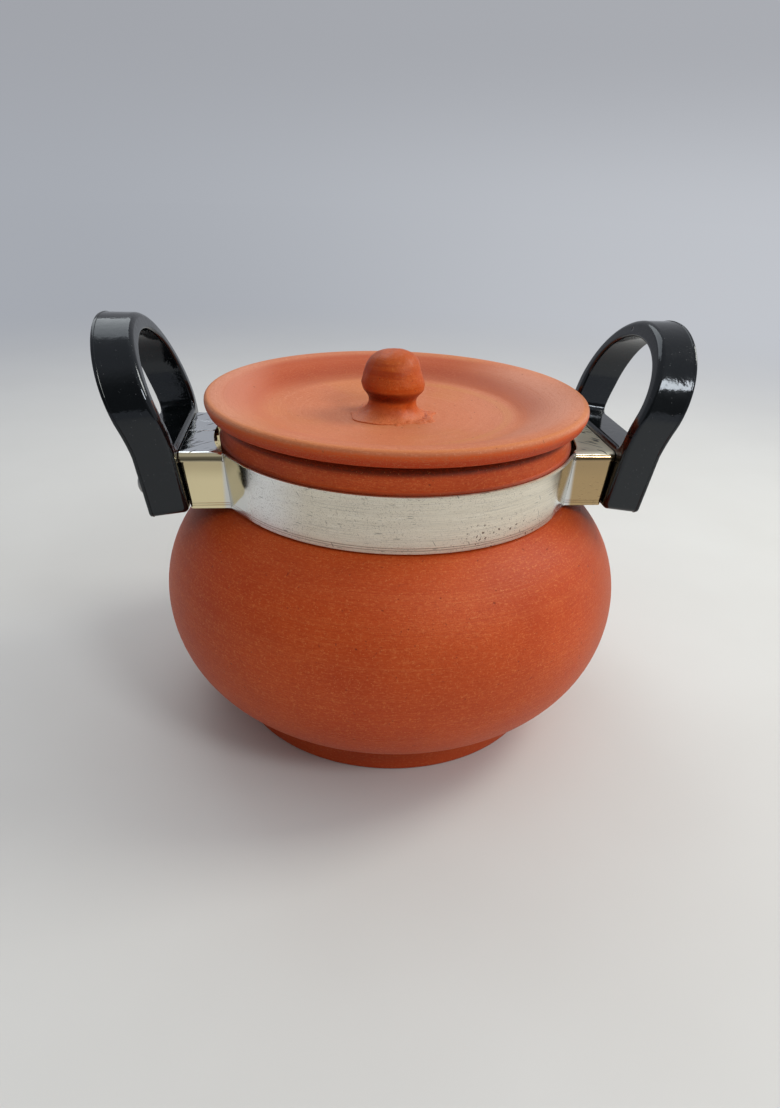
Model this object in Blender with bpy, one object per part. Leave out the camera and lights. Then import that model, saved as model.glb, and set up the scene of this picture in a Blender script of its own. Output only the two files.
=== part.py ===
"""Clay handi: a thrown terracotta pot and dished lid, a folded steel strap in two halves round the neck, and two
moulded loop handles bolted to the brackets that the strap's ends make. Metres, +Z up, the handles along X, the
pot's foot on z = 0."""

import math

import bmesh
import bpy
from mathutils import Matrix, Vector

# Gap between pieces that touch
SEAT_GAP = 0.0003

# Pot
FOOT_RADIUS = 0.0782
FOOT_HEIGHT = 0.0140
FOOT_RECESS = 0.0030
FOOT_RING_WIDTH = 0.0100
FOOT_EDGE = 0.0012
FOOT_CREASE_STEP = 0.0005
BELLY_RADIUS = 0.1100
BELLY_CORE_RADIUS = 0.0650
BELLY_WIDEST_Z = 0.0630
BELLY_EDGE_RADIUS = 0.0806
POT_WALL = 0.0065
FLOOR_THICKNESS = 0.0085
FLOOR_RADIUS = 0.0690
BAND_BOTTOM_Z = 0.1120
NECK_LENGTH_BELOW_BAND = 0.0008
COLLAR_HEIGHT = 0.0098
COLLAR_STEP = 0.0010
RIM_ROUNDING = 0.0024
MOUTH_RADIUS = 0.0738
THROAT_RADIUS = 0.0722

# Lid
LID_RADIUS = 0.0870
LID_RIM_HEIGHT = 0.0094
LID_NOSE_WIDTH = 0.0030
LID_NOSE_HEIGHT = 0.0034
LID_CROWN_INSET = 0.0052
LID_SEAT_RADIUS = 0.0824
LID_SEAT_EDGE = 0.0008
DISH_DEPTH = 0.0115
DISH_FLAT_RADIUS = 0.0560
DISH_FLAT_RISE = 0.0032
LID_THICKNESS = 0.0060
PLUG_CLEARANCE = 0.0032
PLUG_EDGE = 0.0020
PLUG_CURVE = 0.0090

# Knob
KNOB_FOOT_RADIUS = 0.0190
KNOB_NECK_RADIUS = 0.0108
KNOB_NECK_HEIGHT = 0.0072
KNOB_BULB_RADIUS = 0.0144
KNOB_BULB_HEIGHT = 0.0150
KNOB_HEIGHT = 0.0300
KNOB_FOOT_EDGE = 0.0007

# Steel strap, folded from sheet
STRAP_WIDTH = 0.0250
STRAP_THICKNESS = 0.0010
STRAP_RADIUS = 0.0826
STRAP_TAPER = 0.0022
BEND_RADIUS = 0.0010
ROLL_RADIUS = 0.0030
BRACKET_HALF_WIDTH = 0.0325
BRACKET_REACH = 0.0962
CORNER_STANDOFF = 0.0013
COVER_NECK_GAP = 0.0012
COVER_SEAM_GAP = 0.0006
TAB_LENGTH = 0.0125
FOLD_RELIEF = 0.0008

# Handles: a solid base, and a loop that leans out further than the base
HANDLE_BASE_HALF_WIDTH = 0.0365
HANDLE_SHOULDER_HALF_WIDTH = 0.0408
HANDLE_SHOULDER_HEIGHT = 0.0440
HANDLE_HEIGHT = 0.0805
HANDLE_BREADTH = 0.0168
HANDLE_CROWN_BREADTH = 0.0156
HANDLE_SWELL = 0.0014
HANDLE_BASE_HEIGHT = 0.0285
HANDLE_DROP = 0.0006
HANDLE_LEG = 0.0070
HANDLE_CROWN = 0.0078
HANDLE_BASE_LEAN = math.radians(8.0)
HANDLE_LOOP_LEAN = math.radians(20.5)
HANDLE_BEND_DROP = 0.0010
HANDLE_BEND_LENGTH = 0.0140
HANDLE_HOLE_FLARE = 0.0020
HANDLE_HOLE_TAPER = 0.0012
HANDLE_CORNER = 0.0030
HANDLE_HOLE_CORNER = 0.0040
HANDLE_INNER_ROUNDING = 0.0024
HANDLE_HOLE_ROUNDING = 0.0018
HANDLE_OUTER_ROUNDING = 0.0007

# Screws, washers and nuts
SCREW_DIAMETER = 0.0040
SCREW_HOLE_DIAMETER = 0.0046
SCREW_HEAD_DIAMETER = 0.0085
SCREW_HEAD_HEIGHT = 0.0034
SCREW_SPREAD = 0.0268
SCREW_HEIGHT = 0.0128
SCREW_TAIL = 0.0020
SCREW_POINT = 0.0005
WASHER_DIAMETER = 0.0080
WASHER_THICKNESS = 0.0008
NUT_ACROSS_FLATS = 0.0070
NUT_THICKNESS = 0.0032

# Smoothness of the round forms
POT_STEPS = 60
BELLY_ROWS = 7
KNOB_STEPS = 28
BEND_STEPS = 3
ARC_STEPS = 24
WALL_ROWS = 3
COVER_ROWS = 4
LOOP_STEPS = 10
ROUND_STEPS = 12
NUT_CORNERS = 6

# Heights and radii that follow from the sizes above
BAND_TOP_Z = BAND_BOTTOM_Z + STRAP_WIDTH
RIM_Z = BAND_TOP_Z + COLLAR_HEIGHT
LID_SEAT_Z = RIM_Z + SEAT_GAP
LID_TOP_Z = LID_SEAT_Z + LID_RIM_HEIGHT
DISH_Z = LID_TOP_Z - DISH_DEPTH
PLUG_RADIUS = MOUTH_RADIUS - PLUG_CLEARANCE
WALL_Y = BRACKET_HALF_WIDTH - STRAP_THICKNESS / 2
ROLL_Z = BAND_TOP_Z - STRAP_THICKNESS / 2 - ROLL_RADIUS
HANDLE_BOTTOM_Z = BAND_BOTTOM_Z - HANDLE_DROP
HANDLE_BEND_START = HANDLE_BASE_HEIGHT - HANDLE_BEND_DROP


def material(name, colour, roughness, metallic=0.0, coat=0.0):
    made = bpy.data.materials.new(name)
    made.use_nodes = True
    shader = made.node_tree.nodes["Principled BSDF"]
    shader.inputs["Base Color"].default_value = (*colour, 1.0)
    shader.inputs["Roughness"].default_value = roughness
    shader.inputs["Metallic"].default_value = metallic
    shader.inputs["Coat Weight"].default_value = coat
    made.diffuse_color = (*colour, 1.0)
    return made


def terracotta(name):
    return material(name, (0.48, 0.085, 0.03), 0.78)


def steel(name):
    return material(name, (0.62, 0.60, 0.56), 0.28, metallic=1.0)


def phenolic(name):
    return material(name, (0.012, 0.012, 0.014), 0.2, coat=0.5)


def new_object(name, mesh, look):
    made = bpy.data.objects.new(name, mesh)
    bpy.context.collection.objects.link(made)
    mesh.materials.append(look)
    return made


def shade(mesh, angle=math.radians(35)):
    mesh.shade_smooth()
    mesh.set_sharp_from_angle(angle=angle)


def arc(centre, radii, start, end, steps):
    """Points of an elliptic arc in the profile's plane, both ends included. Angles are in degrees from +X."""
    points = []
    for i in range(steps + 1):
        angle = math.radians(start + (end - start) * i / steps)
        x = centre[0] + radii[0] * math.cos(angle)
        z = centre[1] + radii[1] * math.sin(angle)
        points.append((x, z))
    return points


def share_of(start, end, across, up):
    """The point at these shares of the way from start to end, across and up."""
    return (start[0] + (end[0] - start[0]) * across, start[1] + (end[1] - start[1]) * up)


def curve_points(start, end, pulls, steps):
    """Points of a cubic curve, its start left out. Each pull is a share of the way across and up."""
    a, d = start, end
    b, c = (share_of(start, end, *pull) for pull in pulls)
    points = []
    for i in range(1, steps + 1):
        t = i / steps
        weights = ((1 - t) ** 3, 3 * t * (1 - t) ** 2, 3 * t * t * (1 - t), t**3)
        points.append(tuple(sum(w * p[k] for w, p in zip(weights, (a, b, c, d))) for k in (0, 1)))
    return points


def turned(name, profile, steps, look, z=0.0):
    """A piece thrown on the wheel: the profile turned about Z. It runs down its outer side."""
    mesh = bpy.data.meshes.new(name)
    points = [(x, 0.0, height - z) for x, height in profile]
    edges = [(i, i + 1) for i in range(len(points) - 1)]
    mesh.from_pydata(points, edges, [])
    made = new_object(name, mesh, look)
    made.location.z = z
    screw = made.modifiers.new("Wheel", "SCREW")
    screw.angle = math.tau
    screw.steps = steps
    screw.render_steps = steps
    screw.use_merge_vertices = True
    screw.merge_threshold = 0.00001
    screw.use_smooth_shade = True
    return made


# Pot

def neck_radius(z):
    """The clay under the strap, tapering with it."""
    share = (BAND_TOP_Z - z) / STRAP_WIDTH
    return STRAP_RADIUS - STRAP_THICKNESS - SEAT_GAP - STRAP_TAPER * share


def belly_arc(offset, low_radius, low_z, high_radius, high_z, steps):
    """The belly's section from its low edge up to the neck: two quarter ellipses that meet at the widest point.
    The offset moves it inwards by the wall."""
    half_width = BELLY_RADIUS - BELLY_CORE_RADIUS - offset
    points = []
    for radius, z, sign in ((low_radius, low_z, -1), (high_radius, high_z, 1)):
        across = (radius - BELLY_CORE_RADIUS) / half_width
        along = math.sqrt(1 - across * across)
        half_height = abs(z - BELLY_WIDEST_Z) / along
        end = math.degrees(math.acos(across)) * sign
        centre = (BELLY_CORE_RADIUS, BELLY_WIDEST_Z)
        points.append(arc(centre, (half_width, half_height), end, 0, steps))
    return points[0] + points[1][-2::-1]


def pot_profile():
    neck_low = BAND_BOTTOM_Z - NECK_LENGTH_BELOW_BAND
    collar_radius = neck_radius(BAND_TOP_Z) - COLLAR_STEP
    inner_floor = FOOT_RECESS + FLOOR_THICKNESS
    inside = belly_arc(POT_WALL, FLOOR_RADIUS, inner_floor, THROAT_RADIUS, neck_low, BELLY_ROWS)
    neck_low_radius = neck_radius(neck_low)
    outside = belly_arc(0.0, BELLY_EDGE_RADIUS, FOOT_HEIGHT, neck_low_radius, neck_low, BELLY_ROWS + 1)
    rim_in = arc((MOUTH_RADIUS + RIM_ROUNDING, RIM_Z - RIM_ROUNDING), (RIM_ROUNDING,) * 2, 180, 90, 3)
    rim_out = arc((collar_radius - RIM_ROUNDING, RIM_Z - RIM_ROUNDING), (RIM_ROUNDING,) * 2, 90, 0, 3)
    waist = BAND_TOP_Z + SEAT_GAP
    foot_in = FOOT_RADIUS - FOOT_RING_WIDTH
    return [
        (0.0, inner_floor),
        *inside,
        *rim_in,
        *rim_out,
        (collar_radius, waist + COLLAR_STEP),
        (neck_radius(waist), waist),
        *outside[::-1],
        (FOOT_RADIUS + FOOT_CREASE_STEP, FOOT_HEIGHT - FOOT_EDGE),
        (FOOT_RADIUS, FOOT_EDGE),
        (FOOT_RADIUS - FOOT_EDGE, 0.0),
        (foot_in, 0.0),
        (foot_in - FOOT_RECESS, FOOT_RECESS),
        (0.0, FOOT_RECESS),
    ]


# Lid and knob

def lid_profile():
    nose_centre = (LID_RADIUS - LID_NOSE_WIDTH, LID_TOP_Z - LID_NOSE_HEIGHT)
    nose = arc(nose_centre, (LID_NOSE_WIDTH, LID_NOSE_HEIGHT), 75, -50, 6)
    knob_edge = (KNOB_FOOT_RADIUS, DISH_Z)
    flat_edge = (DISH_FLAT_RADIUS, DISH_Z + DISH_FLAT_RISE)
    crown = (LID_RADIUS - LID_CROWN_INSET, LID_TOP_Z)
    plug_z = DISH_Z - LID_THICKNESS
    return [
        (0.0, DISH_Z),
        knob_edge,
        *curve_points(knob_edge, flat_edge, ((0.40, 0.0), (0.76, 0.44)), 3),
        *curve_points(flat_edge, crown, ((0.35, 0.22), (0.62, 0.93)), 5),
        *nose,
        (LID_SEAT_RADIUS + LID_SEAT_EDGE, LID_SEAT_Z + LID_SEAT_EDGE),
        (LID_SEAT_RADIUS - LID_SEAT_EDGE, LID_SEAT_Z),
        (PLUG_RADIUS + PLUG_EDGE, LID_SEAT_Z),
        (PLUG_RADIUS, LID_SEAT_Z - PLUG_EDGE),
        (PLUG_RADIUS - PLUG_EDGE / 2, plug_z + 2 * PLUG_EDGE),
        (PLUG_RADIUS - PLUG_CURVE, plug_z + PLUG_EDGE / 2),
        (DISH_FLAT_RADIUS - PLUG_CURVE, plug_z),
        (0.0, plug_z),
    ]


def knob_profile():
    """A bulb on a short neck that flares to the ring of clay the knob was luted on with."""
    foot_z = DISH_Z + SEAT_GAP
    top = (0.0, DISH_Z + KNOB_HEIGHT)
    widest = (KNOB_BULB_RADIUS, DISH_Z + KNOB_BULB_HEIGHT)
    neck = (KNOB_NECK_RADIUS, DISH_Z + KNOB_NECK_HEIGHT)
    flare_end = (KNOB_FOOT_RADIUS - KNOB_FOOT_EDGE / 2, foot_z + KNOB_FOOT_EDGE)
    dome = curve_points(top, widest, ((0.73, 0.0), (0.82, 0.58)), 7)
    under = curve_points(widest, neck, ((-0.22, 0.45), (1.11, 0.72)), 5)
    flare = curve_points(neck, flare_end, ((-0.08, 0.48), (0.28, 0.86)), 5)
    return [top, *dome, *under, *flare, (KNOB_FOOT_RADIUS - KNOB_FOOT_EDGE, foot_z), (0.0, foot_z)]


# Steel strap

def strap_path(z):
    """The right half of the front strap's middle line at one height. It runs round the neck from the front, leaves
    it along a tangent, turns out along the bracket's wall, and turns in again to the tab behind the handle."""
    share = (BAND_TOP_Z - z) / STRAP_WIDTH
    top_radius = STRAP_RADIUS - STRAP_THICKNESS / 2
    radius = top_radius - STRAP_TAPER * share
    corner_x = math.sqrt((top_radius + CORNER_STANDOFF) ** 2 - WALL_Y**2) - STRAP_TAPER * share
    corner = Vector((corner_x, -WALL_Y))
    to_handle = (SEAT_GAP + STRAP_THICKNESS / 2) / math.cos(HANDLE_BASE_LEAN)
    end = Vector((handle_face_x(z) - to_handle, -WALL_Y))
    leave = math.atan2(corner.y, corner.x) - math.acos(radius / corner.length)
    around = []
    for i in range(ARC_STEPS // 2 + 1):
        angle = -math.pi / 2 + (leave + math.pi / 2) * i / (ARC_STEPS // 2)
        around.append(Vector((radius * math.cos(angle), radius * math.sin(angle))))
    out = fillet(around[-1], corner, end, BEND_RADIUS)
    tab_end = Vector((end.x, -WALL_Y + TAB_LENGTH))
    turn_in = fillet(corner, end, tab_end, BEND_RADIUS)
    return around + out, turn_in + [tab_end]


def handle_face_x(z):
    """The handle's inner face, where it stands against the bracket."""
    return BRACKET_REACH - (BAND_TOP_Z - z) * math.tan(HANDLE_BASE_LEAN)


def cover_end_x(z):
    """Where the cover's sheet stops short of the handle."""
    return handle_face_x(z) - SEAT_GAP / math.cos(HANDLE_BASE_LEAN)


def fillet(before, corner, after, radius):
    """Points of the arc that rounds a corner, tangent to both of its sides."""
    back = (before - corner).normalized()
    on = (after - corner).normalized()
    half = back.angle(on) / 2
    centre = corner + (back + on).normalized() * (radius / math.sin(half))
    start = corner + back * (radius / math.tan(half)) - centre
    turn = start.angle_signed(corner + on * (radius / math.tan(half)) - centre)
    points = []
    for i in range(BEND_STEPS + 1):
        points.append(centre + Matrix.Rotation(-turn * i / BEND_STEPS, 2) @ start)
    return points


def grid(bm, rows):
    """Faces between neighbouring rows of points."""
    verts = [[bm.verts.new(point) for point in row] for row in rows]
    for low, high in zip(verts, verts[1:]):
        for i in range(len(low) - 1):
            bm.faces.new((low[i], low[i + 1], high[i + 1], high[i]))


def spread(start, end, count):
    return [start + (end - start) * i / count for i in range(count + 1)]


def strap_half(bm, side):
    """The sheet's middle surface on one side of the front: band, bracket wall, rolled cover and tab."""
    def placed(point, z):
        return (point.x * side, point.y, z)

    heights = (BAND_BOTTOM_Z, ROLL_Z - 2 * FOLD_RELIEF, ROLL_Z - FOLD_RELIEF, ROLL_Z, BAND_TOP_Z)
    band_rows, tab_rows = zip(*(strap_path(z) for z in heights))
    grid(bm, [[placed(p, z) for p in row] for row, z in zip(band_rows, heights)])
    grid(bm, [[placed(p, z) for p in row] for row, z in zip(tab_rows[:2], heights)])

    roll_start = band_rows[3][-1].x + FOLD_RELIEF
    cover_z = ROLL_Z + ROLL_RADIUS
    wall_rows = []
    for band, tab, z in zip(band_rows, tab_rows, heights[:4]):
        start, last = band[-1].x + FOLD_RELIEF, tab[0].x
        xs = [band[-1].x] + spread(start, last, WALL_ROWS)
        wall_rows.append([placed(Vector((x, -WALL_Y)), z) for x in xs])
    grid(bm, wall_rows)
    roll_xs = spread(roll_start, tab_rows[3][0].x, WALL_ROWS)
    above_tab = [[placed(Vector((x, -WALL_Y)), z) for x in (tab[0].x, cover_end_x(z))]
                 for tab, z in zip(tab_rows[2:4], heights[2:4])]
    grid(bm, above_tab)

    cover_rows = []
    for i in range(BEND_STEPS + 2):
        angle = math.pi / 2 * i / (BEND_STEPS + 1)
        y = -WALL_Y + ROLL_RADIUS * (1 - math.cos(angle))
        z = ROLL_Z + ROLL_RADIUS * math.sin(angle)
        cover_rows.append([placed(Vector((x, y)), z) for x in roll_xs + [cover_end_x(z)]])
    clear_radius = STRAP_RADIUS + COVER_NECK_GAP
    for y in spread(-WALL_Y + ROLL_RADIUS, -COVER_SEAM_GAP / 2, COVER_ROWS)[1:]:
        neck_side = max(roll_start, math.sqrt(clear_radius**2 - y * y))
        xs = spread(neck_side, roll_xs[-1], WALL_ROWS) + [cover_end_x(cover_z)]
        cover_rows.append([placed(Vector((x, y)), cover_z) for x in xs])
    grid(bm, cover_rows)


def strap(name, turn, cutters):
    """One half of the strap, folded at both ends."""
    bm = bmesh.new()
    for side in (-1, 1):
        strap_half(bm, side)
    bmesh.ops.remove_doubles(bm, verts=bm.verts, dist=0.000001)
    bmesh.ops.recalc_face_normals(bm, faces=bm.faces)
    mesh = bpy.data.meshes.new(name)
    bm.to_mesh(mesh)
    bm.free()
    shade(mesh)
    made = new_object(name, mesh, steel(name + "_steel"))
    made.rotation_euler.z = turn
    sheet = made.modifiers.new("Sheet", "SOLIDIFY")
    sheet.thickness = STRAP_THICKNESS
    sheet.offset = 0.0
    sheet.use_even_offset = True
    drill(made, cutters)
    return made


def drill(made, cutters):
    for cutter in cutters:
        hole = made.modifiers.new("Screw hole", "BOOLEAN")
        hole.operation = "DIFFERENCE"
        hole.solver = "EXACT"
        hole.object = cutter


# Handles

def loop_outline(bottom, shoulder, top, low_half, shoulder_half, corner, side_shares):
    """Half an outline of the handle, from its bottom's middle up one side to its top's middle, as (y, s) points:
    a flat bottom, a small corner, a straight side and a quarter of an ellipse. The side's points stand at shares
    of the length over which the loop bends out."""
    low = Vector((low_half, bottom))
    high = Vector((shoulder_half, shoulder))
    points = [Vector((y, bottom)) for y in spread(0.0, low_half - 2 * corner, 3)]
    points += fillet(points[0], low, high, corner)
    for share in side_shares:
        height = HANDLE_BEND_START + HANDLE_BEND_LENGTH * share
        points.append(low.lerp(high, (height - bottom) / (shoulder - bottom)))
    for y, s in arc((0.0, shoulder), (shoulder_half, top - shoulder), 0, 90, LOOP_STEPS):
        points.append(Vector((y, s)))
    return points


def closed_outline(half):
    mirrored = [Vector((-p.x, p.y)) for p in half[-2:0:-1]]
    return half + mirrored


def inset(outline, distance):
    """The outline moved in towards its middle, or out where the distance is negative."""
    moved = []
    count = len(outline)
    for i, point in enumerate(outline):
        before = (point - outline[i - 1]).normalized()
        after = (outline[(i + 1) % count] - point).normalized()
        along = (before + after).normalized()
        across = Vector((-along.y, along.x))
        moved.append(point + across * (distance / max(0.5, across.dot(Vector((-before.y, before.x))))))
    return moved


def handle_point(y, s, n):
    """Where a point of the flat handle goes once its loop leans out: s runs up its inner face, and n out through it,
    square to the base and level at the crown."""
    curve = (HANDLE_LOOP_LEAN - HANDLE_BASE_LEAN) / HANDLE_BEND_LENGTH
    straight = min(s, HANDLE_BEND_START)
    bent = min(max(s - HANDLE_BEND_START, 0.0), HANDLE_BEND_LENGTH)
    beyond = max(s - HANDLE_BEND_START - HANDLE_BEND_LENGTH, 0.0)
    lean = HANDLE_BASE_LEAN + curve * bent
    x = handle_face_x(HANDLE_BOTTOM_Z) + straight * math.sin(HANDLE_BASE_LEAN)
    z = HANDLE_BOTTOM_Z + straight * math.cos(HANDLE_BASE_LEAN)
    x += (math.cos(HANDLE_BASE_LEAN) - math.cos(lean)) / curve + beyond * math.sin(lean)
    z += (math.sin(lean) - math.sin(HANDLE_BASE_LEAN)) / curve + beyond * math.cos(lean)
    tilt = HANDLE_BASE_LEAN * (1.0 - beyond / (HANDLE_HEIGHT - HANDLE_BEND_START - HANDLE_BEND_LENGTH))
    return (x + n * math.cos(tilt), y, z - n * math.sin(tilt))


def handle_breadth(s):
    """The loop swells a little above its base and thins to its crown."""
    share = min(max((s - HANDLE_BASE_HEIGHT) / (HANDLE_HEIGHT - HANDLE_BASE_HEIGHT), 0.0), 1.0)
    thinned = (HANDLE_BREADTH - HANDLE_CROWN_BREADTH) * share**2
    return HANDLE_BREADTH - thinned + HANDLE_SWELL * math.sin(math.pi * share)


def rounded_edge(radius, steps):
    """Steps (in from the side, in from the face) round an edge, from the side to the face."""
    turned_by = [math.pi / 2 * i / steps for i in range(steps + 1)]
    return [(radius * (1 - math.cos(a)), radius * (1 - math.sin(a))) for a in turned_by]


def handle(name, carrier, cutters):
    """Rows of points right round the loop's section: over the outer edge, across the side, round the inner edge,
    over the inner face, and back through the finger hole."""
    outside = closed_outline(
        loop_outline(0.0, HANDLE_SHOULDER_HEIGHT, HANDLE_HEIGHT,
                     HANDLE_BASE_HALF_WIDTH, HANDLE_SHOULDER_HALF_WIDTH, HANDLE_CORNER, (0.0, 0.5))
    )
    hole_half = HANDLE_SHOULDER_HALF_WIDTH - HANDLE_LEG
    hole = closed_outline(
        loop_outline(HANDLE_BASE_HEIGHT, HANDLE_SHOULDER_HEIGHT + HANDLE_HOLE_FLARE, HANDLE_HEIGHT - HANDLE_CROWN,
                     hole_half - HANDLE_HOLE_TAPER, hole_half, HANDLE_HOLE_CORNER, (0.45, 0.75))
    )
    rows = []
    for outline, sign, rounding in ((outside, 1, HANDLE_INNER_ROUNDING), (hole, -1, HANDLE_HOLE_ROUNDING)):
        edge = rounded_edge(HANDLE_OUTER_ROUNDING, 1)[::-1]
        part = [[(p, inward, "outer") for p in inset(outline, sign * across)] for across, inward in edge]
        for across, inward in rounded_edge(rounding, 3):
            part.append([(p, inward, "inner") for p in inset(outline, sign * across)])
        rows += part[::sign]
    bm = bmesh.new()
    verts = []
    for row in rows:
        ring = []
        for point, inward, face in row:
            n = inward if face == "inner" else handle_breadth(point.y) - inward
            ring.append(bm.verts.new(handle_point(point.x, point.y, n)))
        verts.append(ring)
    count = len(verts[0])
    for ring, following in zip(verts, verts[1:] + verts[:1]):
        for i in range(count):
            j = (i + 1) % count
            bm.faces.new((ring[i], ring[j], following[j], following[i]))
    bmesh.ops.recalc_face_normals(bm, faces=bm.faces)
    mesh = bpy.data.meshes.new(name)
    bm.to_mesh(mesh)
    bm.free()
    shade(mesh)
    made = new_object(name, mesh, phenolic(name + "_phenolic"))
    made.parent = carrier
    drill(made, cutters)
    return made


# Screws, washers and nuts, each along its own +Z with z = 0 on the handle's inner face

def on_screw_axis(made, carrier, sign):
    """Stand a fastener on a screw's axis, square to the handle's inner face."""
    x, y, z = handle_point(sign * SCREW_SPREAD, SCREW_HEIGHT, 0.0)
    made.parent = carrier
    made.location = (x, y, z)
    made.rotation_euler.y = math.pi / 2 + HANDLE_BASE_LEAN


def screw_profile():
    under_head = HANDLE_BREADTH + SEAT_GAP
    top = under_head + SCREW_HEAD_HEIGHT
    head = SCREW_HEAD_DIAMETER / 2
    shank = SCREW_DIAMETER / 2
    tail = nut_top() - NUT_THICKNESS - SCREW_TAIL
    return [
        (0.0, top),
        (head * 0.45, top - SCREW_HEAD_HEIGHT * 0.06),
        (head * 0.80, top - SCREW_HEAD_HEIGHT * 0.30),
        (head, top - SCREW_HEAD_HEIGHT * 0.70),
        (head, under_head),
        (shank, under_head),
        (shank, tail + SCREW_POINT),
        (shank - SCREW_POINT, tail),
        (0.0, tail),
    ]


def washer_top():
    return -SEAT_GAP - STRAP_THICKNESS - SEAT_GAP


def nut_top():
    return washer_top() - WASHER_THICKNESS - SEAT_GAP


def ring_profile(outer, inner, top, thickness):
    """A closed profile, for a ring: it ends where it starts."""
    low = top - thickness
    return [(inner, top), (outer, top), (outer, low), (inner, low), (inner, top)]


def nut(name, look):
    """A hexagon with a bore."""
    bm = bmesh.new()
    flat = NUT_ACROSS_FLATS / 2
    corner = flat / math.cos(math.pi / NUT_CORNERS)
    bore = SCREW_HOLE_DIAMETER / 2
    top, low = nut_top(), nut_top() - NUT_THICKNESS
    count = 2 * NUT_CORNERS
    rings = []
    for z, reaches in ((top, (corner, flat)), (top, (bore, bore)), (low, (bore, bore)), (low, (corner, flat))):
        ring = []
        for i in range(count):
            angle = math.tau * i / count
            reach = reaches[i % 2]
            ring.append(bm.verts.new((reach * math.cos(angle), reach * math.sin(angle), z)))
        rings.append(ring)
    for ring, following in zip(rings, rings[1:] + rings[:1]):
        for i in range(count):
            j = (i + 1) % count
            bm.faces.new((ring[i], ring[j], following[j], following[i]))
    bmesh.ops.recalc_face_normals(bm, faces=bm.faces)
    mesh = bpy.data.meshes.new(name)
    bm.to_mesh(mesh)
    bm.free()
    return new_object(name, mesh, look)


def hole_cutter(name, carrier, sign):
    length = HANDLE_BREADTH + 4 * (STRAP_THICKNESS + HANDLE_OUTER_ROUNDING)
    mesh = bpy.data.meshes.new(name)
    bm = bmesh.new()
    radius = SCREW_HOLE_DIAMETER / 2
    middle = Matrix.Translation((0.0, 0.0, HANDLE_BREADTH / 2))
    bmesh.ops.create_cone(bm, cap_ends=True, segments=ROUND_STEPS, radius1=radius, radius2=radius,
                          depth=length, matrix=middle)
    bm.to_mesh(mesh)
    bm.free()
    made = bpy.data.objects.new(name, mesh)
    bpy.context.collection.objects.link(made)
    made.hide_render = True
    made.display_type = "WIRE"
    on_screw_axis(made, carrier, sign)
    return made


def fasteners(side, end, carrier, sign):
    name = f"{side}_{end}"
    bolt = turned(name + "_screw", screw_profile(), ROUND_STEPS, steel(name + "_screw_steel"))
    outer, inner = WASHER_DIAMETER / 2, SCREW_HOLE_DIAMETER / 2
    ring = ring_profile(outer, inner, washer_top(), WASHER_THICKNESS)
    washer = turned(name + "_washer", ring, ROUND_STEPS, steel(name + "_washer_steel"))
    for made in (bolt, washer, nut(name + "_nut", steel(name + "_nut_steel"))):
        on_screw_axis(made, carrier, sign)


def empty(name, turn):
    made = bpy.data.objects.new(name, None)
    bpy.context.collection.objects.link(made)
    made.rotation_euler.z = turn
    return made


def main():
    for old in list(bpy.data.objects):
        bpy.data.objects.remove(old, do_unlink=True)
    turned("clay_pot", pot_profile(), POT_STEPS, terracotta("pot_clay"))
    lid = turned("clay_lid", lid_profile(), POT_STEPS, terracotta("lid_clay"), LID_SEAT_Z)
    knob = turned("lid_knob", knob_profile(), KNOB_STEPS, terracotta("knob_clay"), LID_SEAT_Z)
    knob.location.z = 0.0
    knob.parent = lid
    cutters = {"front": [], "rear": []}
    for side, turn in (("right", 0.0), ("left", math.pi)):
        carrier = empty(side + "_bracket", turn)
        holes = []
        for end in ("front", "rear"):
            sign = (-1 if end == "front" else 1) * (1 if side == "right" else -1)
            cutter = hole_cutter(f"{side}_{end}_hole", carrier, sign)
            holes.append(cutter)
            cutters[end].append(cutter)
            fasteners(side, end, carrier, sign)
        handle(side + "_handle", carrier, holes)
    strap("front_band", 0.0, cutters["front"])
    strap("rear_band", math.pi, cutters["rear"])


main()
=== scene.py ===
import math

import bmesh
import bpy
from mathutils import Matrix, Vector
from mathutils.kdtree import KDTree


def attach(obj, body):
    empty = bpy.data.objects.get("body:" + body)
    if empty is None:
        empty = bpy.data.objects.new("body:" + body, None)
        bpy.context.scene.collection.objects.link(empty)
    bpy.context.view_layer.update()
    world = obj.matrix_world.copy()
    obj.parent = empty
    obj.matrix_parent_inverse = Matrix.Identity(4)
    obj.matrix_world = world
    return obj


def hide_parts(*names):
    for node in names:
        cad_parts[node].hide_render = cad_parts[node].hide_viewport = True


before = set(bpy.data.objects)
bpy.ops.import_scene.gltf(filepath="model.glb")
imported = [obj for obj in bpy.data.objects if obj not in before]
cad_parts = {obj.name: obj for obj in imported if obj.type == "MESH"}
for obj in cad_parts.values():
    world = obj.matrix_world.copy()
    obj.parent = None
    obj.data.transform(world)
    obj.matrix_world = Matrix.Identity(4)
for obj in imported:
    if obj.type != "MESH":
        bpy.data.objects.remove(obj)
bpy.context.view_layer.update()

# Sizes shared with the solids, in metres
SEAT_GAP = 0.0003
FOOT_RADIUS = 0.0782
FOOT_HEIGHT = 0.0140
FOOT_RECESS = 0.0030
FOOT_RING_WIDTH = 0.0100
BELLY_RADIUS = 0.1100
BELLY_CORE_RADIUS = 0.0650
BELLY_WIDEST_Z = 0.0630
BELLY_EDGE_RADIUS = 0.0806
POT_WALL = 0.0065
FLOOR_THICKNESS = 0.0085
FLOOR_RADIUS = 0.0690
BAND_BOTTOM_Z = 0.1120
COLLAR_HEIGHT = 0.0098
COLLAR_STEP = 0.0010
MOUTH_RADIUS = 0.0738
THROAT_RADIUS = 0.0722
LID_RADIUS = 0.0870
LID_RIM_HEIGHT = 0.0094
LID_SEAT_RADIUS = 0.0824
DISH_DEPTH = 0.0115
DISH_FLAT_RADIUS = 0.0560
DISH_FLAT_RISE = 0.0032
LID_THICKNESS = 0.0060
PLUG_CLEARANCE = 0.0032
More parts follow.
